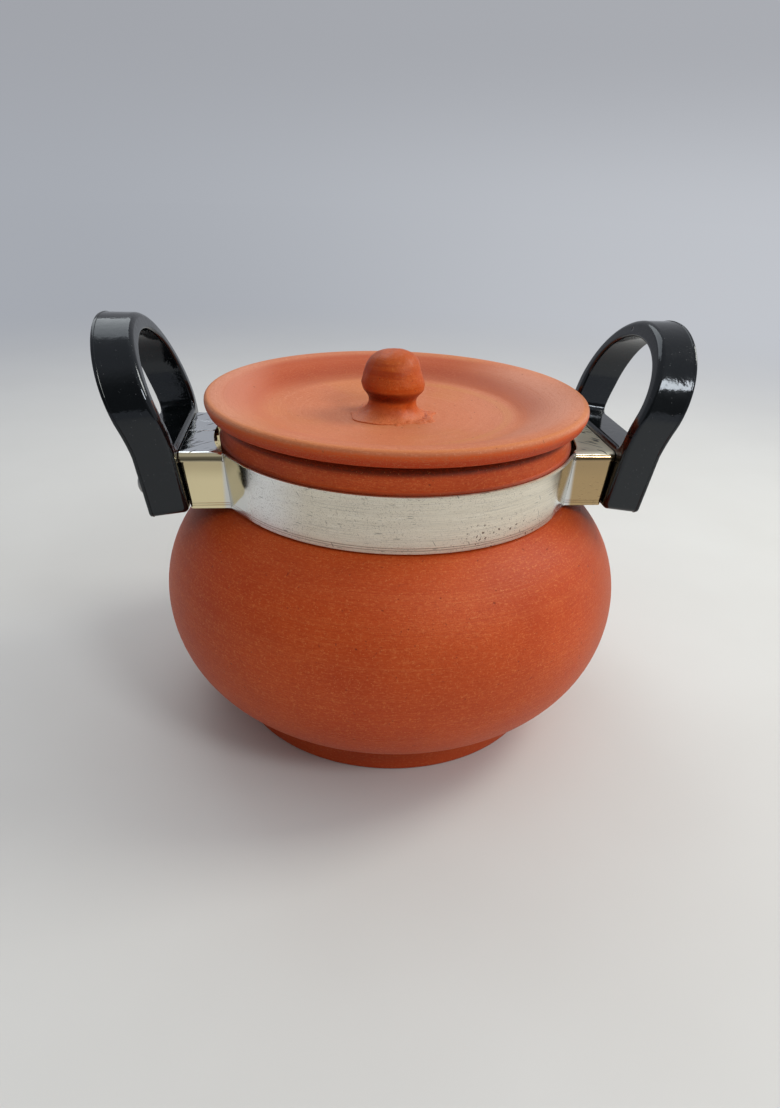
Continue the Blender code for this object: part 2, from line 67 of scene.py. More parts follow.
KNOB_FOOT_RADIUS = 0.0190
KNOB_NECK_RADIUS = 0.0108
KNOB_NECK_HEIGHT = 0.0072
KNOB_BULB_RADIUS = 0.0144
KNOB_BULB_HEIGHT = 0.0150
KNOB_HEIGHT = 0.0300
STRAP_WIDTH = 0.0250
STRAP_THICKNESS = 0.0010
STRAP_RADIUS = 0.0826
STRAP_TAPER = 0.0022
BEND_RADIUS = 0.0010
ROLL_RADIUS = 0.0030
BRACKET_HALF_WIDTH = 0.0325
BRACKET_REACH = 0.0962
CORNER_STANDOFF = 0.0013
COVER_NECK_GAP = 0.0012
COVER_SEAM_GAP = 0.0006
TAB_LENGTH = 0.0125
FOLD_RELIEF = 0.0003
HANDLE_BASE_HALF_WIDTH = 0.0365
HANDLE_SHOULDER_HALF_WIDTH = 0.0408
HANDLE_SHOULDER_HEIGHT = 0.0440
HANDLE_HEIGHT = 0.0805
HANDLE_BREADTH = 0.0168
HANDLE_CROWN_BREADTH = 0.0156
HANDLE_SWELL = 0.0014
HANDLE_BASE_HEIGHT = 0.0285
HANDLE_DROP = 0.0006
HANDLE_LEG = 0.0070
HANDLE_CROWN = 0.0078
HANDLE_BASE_LEAN = math.radians(8.0)
HANDLE_LOOP_LEAN = math.radians(20.5)
HANDLE_BEND_START = 0.0275
HANDLE_BEND_LENGTH = 0.0140
HANDLE_HOLE_FLARE = 0.0020
HANDLE_HOLE_TAPER = 0.0012
HANDLE_CORNER = 0.0030
HANDLE_HOLE_CORNER = 0.0040
SCREW_HEAD_RADIUS = 0.00425
SCREW_HEAD_HEIGHT = 0.0034
SCREW_SHANK_RADIUS = 0.0020
SCREW_HOLE_RADIUS = 0.0023
SCREW_TAIL = 0.0079
SCREW_SPREAD = 0.0268
SCREW_HEIGHT = 0.0128

BAND_TOP_Z = BAND_BOTTOM_Z + STRAP_WIDTH
RIM_Z = BAND_TOP_Z + COLLAR_HEIGHT
LID_SEAT_Z = RIM_Z + SEAT_GAP
LID_TOP_Z = LID_SEAT_Z + LID_RIM_HEIGHT
DISH_Z = LID_TOP_Z - DISH_DEPTH
PLUG_RADIUS = MOUTH_RADIUS - PLUG_CLEARANCE
WALL_Y = BRACKET_HALF_WIDTH - STRAP_THICKNESS / 2
ROLL_Z = BAND_TOP_Z - STRAP_THICKNESS / 2 - ROLL_RADIUS
HANDLE_BOTTOM_Z = BAND_BOTTOM_Z - HANDLE_DROP

# Sizes of the detail that is in this scene alone
LIP_RADIUS = 0.0022
COLLAR_ROUND_WIDTH = 0.0028
COLLAR_ROUND_HEIGHT = 0.0040
FINGER_RIDGE_DEPTH = 0.00035
FINGER_RIDGE_PITCH = 0.0062
LID_CREST_RADIUS = 0.0019
LID_UNDER_RADIUS = 0.0011
LID_SIDE_FOOT_HEIGHT = 0.0034
SLIP_INNER_RADIUS = 0.0150
SLIP_OUTER_RADIUS = 0.0208
SLIP_CREST_RADIUS = 0.0178
SLIP_SINK = 0.0010
KNOB_SLIDE = 0.0031
SHEET_EDGE = 0.00016
SCREW_EDGE = 0.00012
HANDLE_OUTER_EDGE = 0.0006
HANDLE_INNER_EDGE = 0.0024
HOLE_OUTER_EDGE = 0.0007
HOLE_INNER_EDGE = 0.0018
MOULD_RIDGE = 0.00024
SCREW_CROSS_LENGTH = 0.0048
SCREW_CROSS_WIDTH = 0.0009
SCREW_CROSS_HEIGHT = 0.0026
DRILL_LENGTH = 0.030
DRILL_OFFSET = 0.006

# Points nearer than this are one point: in a drawing, in a finished piece and along the strap's mirror
SAME_DRAWN_POINT = 0.000001
SAME_POINT = 0.000005
SAME_MIRRORED_POINT = 0.00001


# Modelling by hand

def deselect():
    bpy.ops.object.select_all(action="DESELECT")


def select_only(piece):
    deselect()
    piece.select_set(True)
    bpy.context.view_layer.objects.active = piece


def open_for_edit(piece):
    select_only(piece)
    bpy.ops.object.mode_set(mode="EDIT")


def merge_points(distance):
    bpy.ops.mesh.select_all(action="SELECT")
    bpy.ops.mesh.remove_doubles(threshold=distance)


def face_outwards():
    """Turn every face of the piece in edit mode outwards, and end its editing."""
    bpy.ops.mesh.select_all(action="SELECT")
    bpy.ops.mesh.normals_make_consistent(inside=False)
    bpy.ops.object.mode_set(mode="OBJECT")


def draw(points):
    """Draw a line in edit mode: a point, extruded step by step."""
    bpy.ops.mesh.select_all(action="DESELECT")
    bpy.ops.mesh.primitive_plane_add(size=0.001, location=points[0])
    bpy.ops.mesh.merge(type="CENTER")
    for start, end in zip(points, points[1:]):
        step = Vector(end) - Vector(start)
        bpy.ops.mesh.extrude_vertices_move(TRANSFORM_OT_translate={"value": step})


def new_drawing(name):
    """An empty piece, open for editing."""
    deselect()
    bpy.ops.mesh.primitive_plane_add(size=0.001)
    piece = bpy.context.object
    piece.name = name
    bpy.ops.object.mode_set(mode="EDIT")
    bpy.ops.mesh.select_all(action="SELECT")
    bpy.ops.mesh.delete(type="VERT")
    return piece


def lofted(name, rows, closed=False):
    """A sheet over drawn rows. Each row is bridged to the next, and a closed row's ends are joined first."""
    piece = new_drawing(name)
    for row in rows:
        draw(list(row) + [row[0]] if closed else row)
    merge_points(SAME_DRAWN_POINT)
    bpy.ops.mesh.select_all(action="DESELECT")
    drawing = bmesh.from_edit_mesh(piece.data)
    drawing.verts.ensure_lookup_table()
    places = KDTree(sum(len(row) for row in rows))
    owners = [i for i, row in enumerate(rows) for point in row]
    for i, point in enumerate(point for row in rows for point in row):
        places.insert(point, i)
    places.balance()
    row_of = [owners[places.find(vert.co)[1]] for vert in drawing.verts]
    for first in range(len(rows) - (0 if closed else 1)):
        pair = (first, (first + 1) % len(rows))
        drawing = bmesh.from_edit_mesh(piece.data)
        for edge in drawing.edges:
            edge.select_set(False)
        for edge in drawing.edges:
            ends = [row_of[vert.index] for vert in edge.verts]
            if ends[0] == ends[1] and ends[0] in pair:
                edge.select_set(True)
        bmesh.update_edit_mesh(piece.data)
        bpy.ops.mesh.bridge_edge_loops()
    face_outwards()
    return piece


def turned(name, profile, steps):
    """A piece thrown on the wheel: its profile is drawn and spun about the upright axis."""
    piece = new_drawing(name)
    draw([(radius, 0.0, height) for radius, height in profile])
    bpy.ops.mesh.select_all(action="SELECT")
    bpy.ops.mesh.spin(steps=steps, angle=math.tau, center=(0.0, 0.0, 0.0), axis=(0.0, 0.0, 1.0))
    merge_points(SAME_POINT)
    face_outwards()
    return piece


def joined(pieces):
    deselect()
    for piece in pieces:
        piece.select_set(True)
    bpy.context.view_layer.objects.active = pieces[0]
    bpy.ops.object.join()
    open_for_edit(pieces[0])
    merge_points(SAME_POINT)
    face_outwards()
    return pieces[0]


def copy_of(piece, name):
    """A copy with its own mesh, selected and active."""
    select_only(piece)
    bpy.ops.object.duplicate()
    copy = bpy.context.object
    copy.name = name
    return copy


def fix_place():
    """Move the selected piece's place, turn and scale into its mesh."""
    bpy.ops.object.transform_apply(location=True, rotation=True, scale=True)


def half_turned_copy(piece, name):
    """A copy turned half round the pot's axis."""
    copy = copy_of(piece, name)
    bpy.ops.transform.rotate(value=math.pi, orient_axis="Z", center_override=(0.0, 0.0, 0.0))
    fix_place()
    return copy


def apply_modifier(piece, kind, **settings):
    modifier = piece.modifiers.new(kind.title(), kind)
    for name, value in settings.items():
        setattr(modifier, name, value)
    select_only(piece)
    bpy.ops.object.modifier_apply(modifier=modifier.name)


def cut(piece, cutter):
    """Cut the cutter's shape out of the piece, and put the cutter away."""
    apply_modifier(piece, "BOOLEAN", operation="DIFFERENCE", solver="EXACT", object=cutter)
    bpy.data.objects.remove(cutter)


def ease_edges(piece, width):
    """Take the sharpness off every edge that bends by more than 50 degrees."""
    apply_modifier(piece, "BEVEL", width=width, segments=2, limit_method="ANGLE",
                   angle_limit=math.radians(50))


def roughen(piece, name, size, strength, mid_level):
    """Push the surface in and out by soft lumps of this size."""
    lumps = bpy.data.textures.new(name, "CLOUDS")
    lumps.noise_scale = size
    lumps.noise_depth = 2
    apply_modifier(piece, "DISPLACE", texture=lumps, strength=strength, mid_level=mid_level)


def smooth(piece, degrees):
    select_only(piece)
    bpy.ops.object.shade_smooth_by_angle(angle=math.radians(degrees))


# Lines and curves

def arc(centre, radii, start, end, steps):
    """Points of an elliptic arc, both ends included. Angles are in degrees from +X."""
    points = []
    for i in range(steps + 1):
        angle = math.radians(start + (end - start) * i / steps)
        points.append((centre[0] + radii[0] * math.cos(angle), centre[1] + radii[1] * math.sin(angle)))
    return points


def share_of(start, end, across, up):
    """The point at these shares of the way from start to end."""
    return (start[0] + (end[0] - start[0]) * across, start[1] + (end[1] - start[1]) * up)


def curve_points(start, end, pulls, steps):
    """Points of a cubic curve, its start left out. Each pull is a share of the way across and up."""
    a, d = start, end
    b, c = (share_of(start, end, *pull) for pull in pulls)
    points = []
    for i in range(1, steps + 1):
        t = i / steps
        weights = ((1 - t) ** 3, 3 * t * (1 - t) ** 2, 3 * t * t * (1 - t), t**3)
        points.append(tuple(sum(w * p[k] for w, p in zip(weights, (a, b, c, d))) for k in (0, 1)))
    return points


def line_points(start, end, count):
    """Points of a straight line cut in this many parts, both ends left out."""
    return [share_of(start, end, i / count, i / count) for i in range(1, count)]


def spread(start, end, count):
    """Numbers evenly from start to end, both included."""
    return [start + (end - start) * i / count for i in range(count + 1)]


def fillet(before, corner, after, radius, steps):
    """Points of the arc that rounds a corner, tangent to both of its sides."""
    back = (before - corner).normalized()
    on = (after - corner).normalized()
    half = back.angle(on) / 2
    centre = corner + (back + on).normalized() * (radius / math.sin(half))
    start = corner + back * (radius / math.tan(half)) - centre
    turn = start.angle_signed(corner + on * (radius / math.tan(half)) - centre)
    return [centre + Matrix.Rotation(-turn * i / steps, 2) @ start for i in range(steps + 1)]


def lobe(angle, toward, sharpness):
    """1 on the side that it points toward, falling to 0 round the piece. A sharper lobe is narrower."""
    return max(0.0, math.cos(angle - toward)) ** sharpness


def level(rise, middle, steepness):
    """1 at one height, falling to 0 above and below it."""
    return max(0.0, 1 - abs(rise - middle) * steepness)


def waves(angle, *rows):
    """A wavy rim: each row is how many waves go round, how high they are and where they start."""
    return sum(height * math.sin(count * angle + start) for count, height, start in rows)


# Clay

def neck_radius(z):
    """The neck's radius under the strap, which tapers with it."""
    share = (BAND_TOP_Z - z) / STRAP_WIDTH
    return STRAP_RADIUS - STRAP_THICKNESS - SEAT_GAP - STRAP_TAPER * share


def belly_arc(offset, low_radius, low_z, high_radius, high_z, steps):
    """The belly's section from its low edge up to the neck."""
    half_width = BELLY_RADIUS - BELLY_CORE_RADIUS - offset
    points = []
    for radius, z, sign in ((low_radius, low_z, -1), (high_radius, high_z, 1)):
        across = (radius - BELLY_CORE_RADIUS) / half_width
        half_height = abs(z - BELLY_WIDEST_Z) / math.sqrt(1 - across * across)
        end = math.degrees(math.acos(across)) * sign
        points.append(arc((BELLY_CORE_RADIUS, BELLY_WIDEST_Z), (half_width, half_height), end, 0, steps))
    return points[0] + points[1][-2::-1]


def finger_ridges(points):
    """The inside of a thrown pot keeps the ridges of the fingers."""
    return [(x + FINGER_RIDGE_DEPTH * math.sin(math.tau * z / FINGER_RIDGE_PITCH), z) for x, z in points]


def make_pot():
    """The pot: finger ridges inside, a rounded lip, a stepped collar above the strap and a turned foot."""
    inner_floor = FOOT_RECESS + FLOOR_THICKNESS
    neck_low = BAND_BOTTOM_Z - 0.0008
    neck_foot = (neck_radius(neck_low), neck_low)
    inside = belly_arc(POT_WALL, FLOOR_RADIUS, inner_floor, THROAT_RADIUS, neck_low, steps=40)
    outside = belly_arc(0.0, BELLY_EDGE_RADIUS, FOOT_HEIGHT, *neck_foot, steps=34)
    lip = (MOUTH_RADIUS, RIM_Z - LIP_RADIUS)
    collar = neck_radius(BAND_TOP_Z) - COLLAR_STEP
    collar_top = (collar - COLLAR_ROUND_WIDTH, RIM_Z - COLLAR_ROUND_HEIGHT)
    waist_z = BAND_TOP_Z + SEAT_GAP
    waist = (neck_radius(waist_z), waist_z)
    ring_in = FOOT_RADIUS - FOOT_RING_WIDTH
    foot_edge = 0.0012
    profile = [
        (0.0, inner_floor),
        (FLOOR_RADIUS * 0.5, inner_floor + 0.0002),
        *finger_ridges(inside),
        *line_points((THROAT_RADIUS, neck_low), lip, 6),
        *arc((lip[0] + LIP_RADIUS, lip[1]), (LIP_RADIUS, LIP_RADIUS), 180, 90, 6),
        *arc(collar_top, (COLLAR_ROUND_WIDTH, COLLAR_ROUND_HEIGHT), 90, 0, 10),
        (collar + 0.0001, RIM_Z - 0.0056),
        (collar, waist_z + COLLAR_STEP),
        waist,
        *line_points(waist, neck_foot, 4),
        *outside[::-1],
        (BELLY_EDGE_RADIUS - 0.0008, FOOT_HEIGHT - 0.0007),
        (FOOT_RADIUS + 0.0004, FOOT_HEIGHT - 0.0016),
        (FOOT_RADIUS - 0.0002, FOOT_HEIGHT * 0.6),
        (FOOT_RADIUS, 0.0018),
        *arc((FOOT_RADIUS - foot_edge, foot_edge), (foot_edge, foot_edge), -20, -90, 4),
        (ring_in + 0.0008, 0.0),
        (ring_in, 0.0003),
        (ring_in - FOOT_RECESS, FOOT_RECESS - 0.0003),
        (ring_in - FOOT_RECESS - 0.0010, FOOT_RECESS),
        (0.0, FOOT_RECESS),
    ]
    pot = turned("thrown_pot", profile, steps=192)
    smooth(pot, 40)
    return pot


def make_lid():
    """The lid: a dished top, a rim with a crisp crest and an undercut below it, and the plug that finds the
    mouth."""
    knob_edge = (KNOB_FOOT_RADIUS, DISH_Z)
    flat_edge = (DISH_FLAT_RADIUS, DISH_Z + DISH_FLAT_RISE)
    crown = (LID_RADIUS - 0.0034, LID_TOP_Z)
    crest = arc((LID_RADIUS - LID_CREST_RADIUS, LID_TOP_Z - LID_CREST_RADIUS),
                (LID_CREST_RADIUS, LID_CREST_RADIUS), 84, 0, 9)
    side_foot = (LID_RADIUS - 0.0012, LID_SEAT_Z + LID_SIDE_FOOT_HEIGHT)
    side = curve_points(crest[-1], side_foot, ((-0.25, 0.35), (0.45, 0.75)), 6)
    under = arc((side_foot[0] - LID_UNDER_RADIUS, side_foot[1]), (LID_UNDER_RADIUS, 0.0010), -12, -90, 5)
    seat_edge = PLUG_RADIUS + 0.0070
    plug_z = DISH_Z - LID_THICKNESS
    plug_edge = (PLUG_RADIUS - 0.0010, plug_z + 0.0040)
    plug_flat = (DISH_FLAT_RADIUS - 0.0090, plug_z)
    profile = [
        (0.0, DISH_Z),
        (KNOB_FOOT_RADIUS * 0.5, DISH_Z),
        knob_edge,
        *curve_points(knob_edge, flat_edge, ((0.40, 0.0), (0.76, 0.44)), 16),
        *curve_points(flat_edge, crown, ((0.35, 0.22), (0.60, 0.95)), 20),
        *crest,
        *side,
        *under,
        (LID_SEAT_RADIUS - 0.0004, LID_SEAT_Z + 0.0021),
        (seat_edge + 0.0008, LID_SEAT_Z + 0.0014),
        (seat_edge, LID_SEAT_Z),
        (PLUG_RADIUS + 0.0020, LID_SEAT_Z),
        (PLUG_RADIUS, LID_SEAT_Z - 0.0020),
        plug_edge,
        *curve_points(plug_edge, plug_flat, ((0.05, 0.75), (0.45, 1.0)), 8),
        (0.0, plug_z),
    ]
    lid = turned("thrown_lid", profile, steps=192)
    smooth(lid, 40)
    return lid


def pressed(point):
    """Where the hand leaves a point of the turned knob: a flat on its right, a crease down its neck and an
    uneven skirt that is curled up at the left and sinks into the lid elsewhere."""
    angle = math.atan2(point.y, point.x)
    rise = (point.z - DISH_Z) / KNOB_HEIGHT
    radius = math.hypot(point.x, point.y)
    foot = max(0.0, 1 - rise * 4.0) ** 1.5
    flat = 0.075 * lobe(angle, -0.25, 4) * level(rise, 0.72, 3.5)
    pinch = 0.022 * math.cos(2 * angle + 0.9) * min(1.0, rise * 3)
    crease = 0.10 * lobe(angle, -0.95, 40) * level(rise, 0.16, 7)
    uneven = waves(angle, (2, 0.060, 0.5), (5, 0.035, 1.3), (9, 0.025, 0.0))
    grown = radius * (1 - flat + pinch - crease + uneven * foot)
    edge = foot * min(1.0, radius / 0.015) ** 4
    curled = lobe(angle, -2.45, 1.5)
    lean = 0.0021 + 0.0010 * foot - 0.0006 * rise
    height = point.z + edge * (0.0008 * curled - 0.0005)
    return Vector((grown * math.cos(angle) - lean, grown * math.sin(angle), height))


def make_knob():
    """The knob: a bulb on a short neck that runs out into slip over the lid, leaning and pressed by the
    fingers."""
    top = (0.0, DISH_Z + KNOB_HEIGHT)
    brow = (KNOB_BULB_RADIUS - 0.0003, DISH_Z + KNOB_BULB_HEIGHT + 0.0016)
    chin = (KNOB_BULB_RADIUS - 0.0004, DISH_Z + KNOB_BULB_HEIGHT - 0.0014)
    neck = (KNOB_NECK_RADIUS, DISH_Z + KNOB_NECK_HEIGHT + 0.0004)
    skirt = (KNOB_FOOT_RADIUS - 0.0010, DISH_Z + 0.0002)
    sunk = DISH_Z - 0.0006
    profile = [
        top,
        *curve_points(top, brow, ((0.80, 0.0), (0.93, 0.52)), 20),
        (KNOB_BULB_RADIUS, DISH_Z + KNOB_BULB_HEIGHT),
        chin,
        *curve_points(chin, neck, ((0.0, 0.42), (0.98, 0.62)), 14),
        *curve_points(neck, skirt, ((-0.05, 0.50), (0.36, 0.92)), 18),
        (KNOB_FOOT_RADIUS - 0.0012, sunk),
        (0.0, sunk),
    ]
    knob = turned("luted_knob", profile, steps=128)
    for corner in knob.data.vertices:
        corner.co = pressed(corner.co)
    roughen(knob, "finger_lumps", 0.009, strength=0.0011, mid_level=0.5)
    roughen(knob, "slip_grain", 0.0022, strength=0.00022, mid_level=0.5)
    smooth(knob, 60)
    return knob


def torn(point):
    """Where slip that was smeared by hand and dried leaves a point of the turned bead: a wavy edge with one
    long tear, pulled along with the knob and sunk at the left."""
    angle = math.atan2(point.y, point.x)
    edge = 0.97 + waves(angle, (3, 0.05, 2.1), (7, 0.04, 0.4), (13, 0.03, 0.0))
    tear = 0.16 * lobe(angle, -0.55, 220)
    sunk = 0.0009 * lobe(angle, -2.6, 1) + 0.0003
    return Vector((point.x * (edge + tear) - KNOB_SLIDE, point.y * (edge + tear), point.z - sunk))


def make_slip():
    """Slip smeared round the knob's foot and torn as it dried: an uneven low bead, thin at the left and
    front."""
    underside = DISH_Z - SLIP_SINK
    bead = [
        (SLIP_INNER_RADIUS, underside),
        *arc((SLIP_CREST_RADIUS, DISH_Z - 0.0003), (0.0028, 0.0012), 150, 20, 8),
        (SLIP_OUTER_RADIUS, underside),
        (SLIP_CREST_RADIUS + 0.0001, underside - 0.0002),
        (SLIP_INNER_RADIUS, underside),
    ]
    slip = turned("torn_slip_ring", bead, steps=160)
    for corner in slip.data.vertices:
        corner.co = torn(corner.co)
    roughen(slip, "slip_tears", 0.0028, strength=0.0022, mid_level=0.52)
    open_for_edit(slip)
    face_outwards()
    smooth(slip, 60)
    return slip


# Steel strap

def screw_place(side, end):
    """Where a screw stands: on its handle's inner face, its axis through the base and +Z outwards."""
    sign = (-1 if end == "front" else 1) * (1 if side == "right" else -1)
    place = Matrix.Translation(handle_point(sign * SCREW_SPREAD, SCREW_HEIGHT, 0.0))
    place = place @ Matrix.Rotation(math.pi / 2 + HANDLE_BASE_LEAN, 4, "Y")
    return Matrix.Rotation(0.0 if side == "right" else math.pi, 4, "Z") @ place


def drill(piece, *screws):
    """Holes cut through the piece along the axes of the named screws, from inside the bracket out."""
    for side, end in screws:
        deselect()
        bpy.ops.mesh.primitive_cylinder_add(vertices=40, radius=SCREW_HOLE_RADIUS, depth=DRILL_LENGTH)
        bit = bpy.context.object
        bit.matrix_world = screw_place(side, end) @ Matrix.Translation((0.0, 0.0, DRILL_OFFSET))
        cut(piece, bit)


def handle_face_x(z):
    """The handle's inner face, where it stands against the bracket."""
    return BRACKET_REACH - (BAND_TOP_Z - z) * math.tan(HANDLE_BASE_LEAN)


def cover_end_x(z):
    """Where the bracket's wall and cover end, a gap short of the handle."""
    return handle_face_x(z) - SEAT_GAP / math.cos(HANDLE_BASE_LEAN)


def strap_path(z):
    """The strap's middle line at one height, in two parts: round the neck and the corner, then in to the
    tab."""
    share = (BAND_TOP_Z - z) / STRAP_WIDTH
    top_radius = STRAP_RADIUS - STRAP_THICKNESS / 2
    radius = top_radius - STRAP_TAPER * share
    corner_x = math.sqrt((top_radius + CORNER_STANDOFF) ** 2 - WALL_Y**2) - STRAP_TAPER * share
    corner = Vector((corner_x, -WALL_Y))
    to_handle = (SEAT_GAP + STRAP_THICKNESS / 2) / math.cos(HANDLE_BASE_LEAN)
    end = Vector((handle_face_x(z) - to_handle, -WALL_Y))
    leave = math.atan2(corner.y, corner.x) - math.acos(radius / corner.length)
    around = []
    for angle in spread(-math.pi / 2, leave, 40):
        around.append(Vector((radius * math.cos(angle), radius * math.sin(angle))))
    around += [around[-1].lerp(corner, t) for t in (0.3, 0.6)]
    out = fillet(around[-1], corner, end, BEND_RADIUS, 5)
    tab_end = Vector((end.x, -WALL_Y + TAB_LENGTH))
    turn_in = fillet(corner, end, tab_end, BEND_RADIUS, 5)
    return around + out, turn_in + [tab_end]


def make_strap():
    """The front half of the strap: band, bracket walls, rolled covers and tabs."""
    heights = (BAND_BOTTOM_Z, ROLL_Z - 2 * FOLD_RELIEF, ROLL_Z - FOLD_RELIEF, ROLL_Z, BAND_TOP_Z)
    band_rows, tab_rows = zip(*(strap_path(z) for z in heights))
    sheets = [
        lofted("front_strap", [[(p.x, p.y, z) for p in row] for row, z in zip(band_rows, heights)]),
        lofted("tab", [[(p.x, p.y, z) for p in row] for row, z in zip(tab_rows[:2], heights)]),
    ]
    roll_start = band_rows[3][-1].x + FOLD_RELIEF
    wall_rows = []
    for band, tab, z in zip(band_rows, tab_rows, heights[:4]):
        xs = [band[-1].x] + spread(band[-1].x + FOLD_RELIEF, tab[0].x, 6)
        wall_rows.append([(x, -WALL_Y, z) for x in xs])
    sheets.append(lofted("wall", wall_rows))
    roll_xs = spread(roll_start, tab_rows[3][0].x, 6)
    above_tab = [[(x, -WALL_Y, z) for x in (tab[0].x, cover_end_x(z))]
                 for tab, z in zip(tab_rows[2:4], heights[2:4])]
    sheets.append(lofted("wall_end", above_tab))
    cover_rows = []
    for y, z in arc((-WALL_Y + ROLL_RADIUS, ROLL_Z), (ROLL_RADIUS, ROLL_RADIUS), 180, 90, 8):
        cover_rows.append([(x, y, z) for x in roll_xs + [cover_end_x(z)]])
    cover_z = ROLL_Z + ROLL_RADIUS
    for y in spread(-WALL_Y + ROLL_RADIUS, -COVER_SEAM_GAP / 2, 12)[1:]:
        neck_side = max(roll_start, math.sqrt((STRAP_RADIUS + COVER_NECK_GAP) ** 2 - y * y))
        xs = spread(neck_side, roll_xs[-1], 6) + [cover_end_x(cover_z)]
        cover_rows.append([(x, y, cover_z) for x in xs])
    sheets.append(lofted("cover", cover_rows))
    strap = joined(sheets)
    apply_modifier(strap, "MIRROR", use_axis=(True, False, False), merge_threshold=SAME_MIRRORED_POINT)
    open_for_edit(strap)
    face_outwards()
    apply_modifier(strap, "SOLIDIFY", thickness=STRAP_THICKNESS, offset=0.0, use_even_offset=True)
    ease_edges(strap, SHEET_EDGE)
    drill(strap, ("right", "front"), ("left", "front"))
    smooth(strap, 40)
    apply_modifier(strap, "WEIGHTED_NORMAL", keep_sharp=True)
    return strap


# Handles

def loop_outline(bottom, shoulder, top, low_half, shoulder_half, corner, side_shares):
    """The handle's outline, from its bottom's middle right round, as (y, s) points. The side's points stand
    at shares of the length over which the loop bends out."""
    low = Vector((low_half, bottom))
    high = Vector((shoulder_half, shoulder))
    half = [Vector((y, bottom)) for y in spread(0.0, low_half - 1.6 * corner, 6)]
    half += fillet(half[0], low, high, corner, 6)
    for share in side_shares:
        height = HANDLE_BEND_START + HANDLE_BEND_LENGTH * share
        half.append(low.lerp(high, (height - bottom) / (shoulder - bottom)))
    half += [Vector(p) for p in arc((0.0, shoulder), (shoulder_half, top - shoulder), 0, 90, 28)]
    return half + [Vector((-p.x, p.y)) for p in half[-2:0:-1]]


def inset(outline, distance):
    """The outline moved in towards its middle, or out where the distance is negative."""
    moved = []
    for i, point in enumerate(outline):
        before = (point - outline[i - 1]).normalized()
        after = (outline[(i + 1) % len(outline)] - point).normalized()
        along = (before + after).normalized()
        across = Vector((-along.y, along.x))
        moved.append(point + across * (distance / max(0.5, across.dot(Vector((-before.y, before.x))))))
    return moved


def handle_breadth(s):
    """The loop swells a little above its base and thins to its crown."""
    share = min(max((s - HANDLE_BASE_HEIGHT) / (HANDLE_HEIGHT - HANDLE_BASE_HEIGHT), 0.0), 1.0)
    thinned = (HANDLE_BREADTH - HANDLE_CROWN_BREADTH) * share**2
    return HANDLE_BREADTH - thinned + HANDLE_SWELL * math.sin(math.pi * share)


def handle_point(y, s, n):
    """Where a point of the flat handle goes once its loop leans out."""
    curve = (HANDLE_LOOP_LEAN - HANDLE_BASE_LEAN) / HANDLE_BEND_LENGTH
    straight = min(s, HANDLE_BEND_START)
    bent = min(max(s - HANDLE_BEND_START, 0.0), HANDLE_BEND_LENGTH)
    beyond = max(s - HANDLE_BEND_START - HANDLE_BEND_LENGTH, 0.0)
    lean = HANDLE_BASE_LEAN + curve * bent
    x = handle_face_x(HANDLE_BOTTOM_Z) + straight * math.sin(HANDLE_BASE_LEAN)
    z = HANDLE_BOTTOM_Z + straight * math.cos(HANDLE_BASE_LEAN)
    x += (math.cos(HANDLE_BASE_LEAN) - math.cos(lean)) / curve + beyond * math.sin(lean)
    z += (math.sin(lean) - math.sin(HANDLE_BASE_LEAN)) / curve + beyond * math.cos(lean)
    tilt = HANDLE_BASE_LEAN * (1.0 - beyond / (HANDLE_HEIGHT - HANDLE_BEND_START - HANDLE_BEND_LENGTH))
    return Vector((x + n * math.cos(tilt), y, z - n * math.sin(tilt)))


def quarter(radius, steps):
    """Steps (in from the side, in from the face) round an edge, from the side to the face."""
    turns = spread(0.0, math.pi / 2, steps)
    return [(radius * (1 - math.cos(a)), radius * (1 - math.sin(a))) for a in turns]


def make_handle():
    """Rings of points right round the loop's section: its outer edge with the mould's fine ridge, the side,
    the rounded inner edge, the inner face and back through the finger hole."""
    outside = loop_outline(0.0, HANDLE_SHOULDER_HEIGHT, HANDLE_HEIGHT,
                           HANDLE_BASE_HALF_WIDTH, HANDLE_SHOULDER_HALF_WIDTH, HANDLE_CORNER,
                           (-0.10, 0.08, 0.24, 0.40, 0.56, 0.72, 0.88, 1.04))
    hole_half = HANDLE_SHOULDER_HALF_WIDTH - HANDLE_LEG
    hole = loop_outline(HANDLE_BASE_HEIGHT, HANDLE_SHOULDER_HEIGHT + HANDLE_HOLE_FLARE,
                        HANDLE_HEIGHT - HANDLE_CROWN, hole_half - HANDLE_HOLE_TAPER, hole_half,
                        HANDLE_HOLE_CORNER, (0.40, 0.50, 0.60, 0.70, 0.80, 0.90, 1.00, 1.14))
    ridge_and_side = [(0.0, 0.00110), (-MOULD_RIDGE, 0.00125), (-MOULD_RIDGE, 0.00150), (0.0, 0.00165),
                      (0.0, 0.0040)]
    sections = (
        (outside, 1, "outer", quarter(HANDLE_OUTER_EDGE, 3)[::-1] + ridge_and_side),
        (outside, 1, "inner", quarter(HANDLE_INNER_EDGE, 7)),
        (hole, -1, "inner", quarter(HOLE_INNER_EDGE, 5)[::-1]),
        (hole, -1, "outer", quarter(HOLE_OUTER_EDGE, 3)),
    )
    rings = []
    for outline, sign, face, steps in sections:
        for across, depth in steps:
            ring = []
            for p in inset(outline, sign * across):
                n = depth if face == "inner" else handle_breadth(p.y) - depth
                ring.append(handle_point(p.x, p.y, n))
            rings.append(ring)
    handle = lofted("right_loop_handle", rings, closed=True)
    drill(handle, ("right", "front"), ("right", "rear"))
    smooth(handle, 35)
    apply_modifier(handle, "WEIGHTED_NORMAL", keep_sharp=True)
    return handle


# Screws

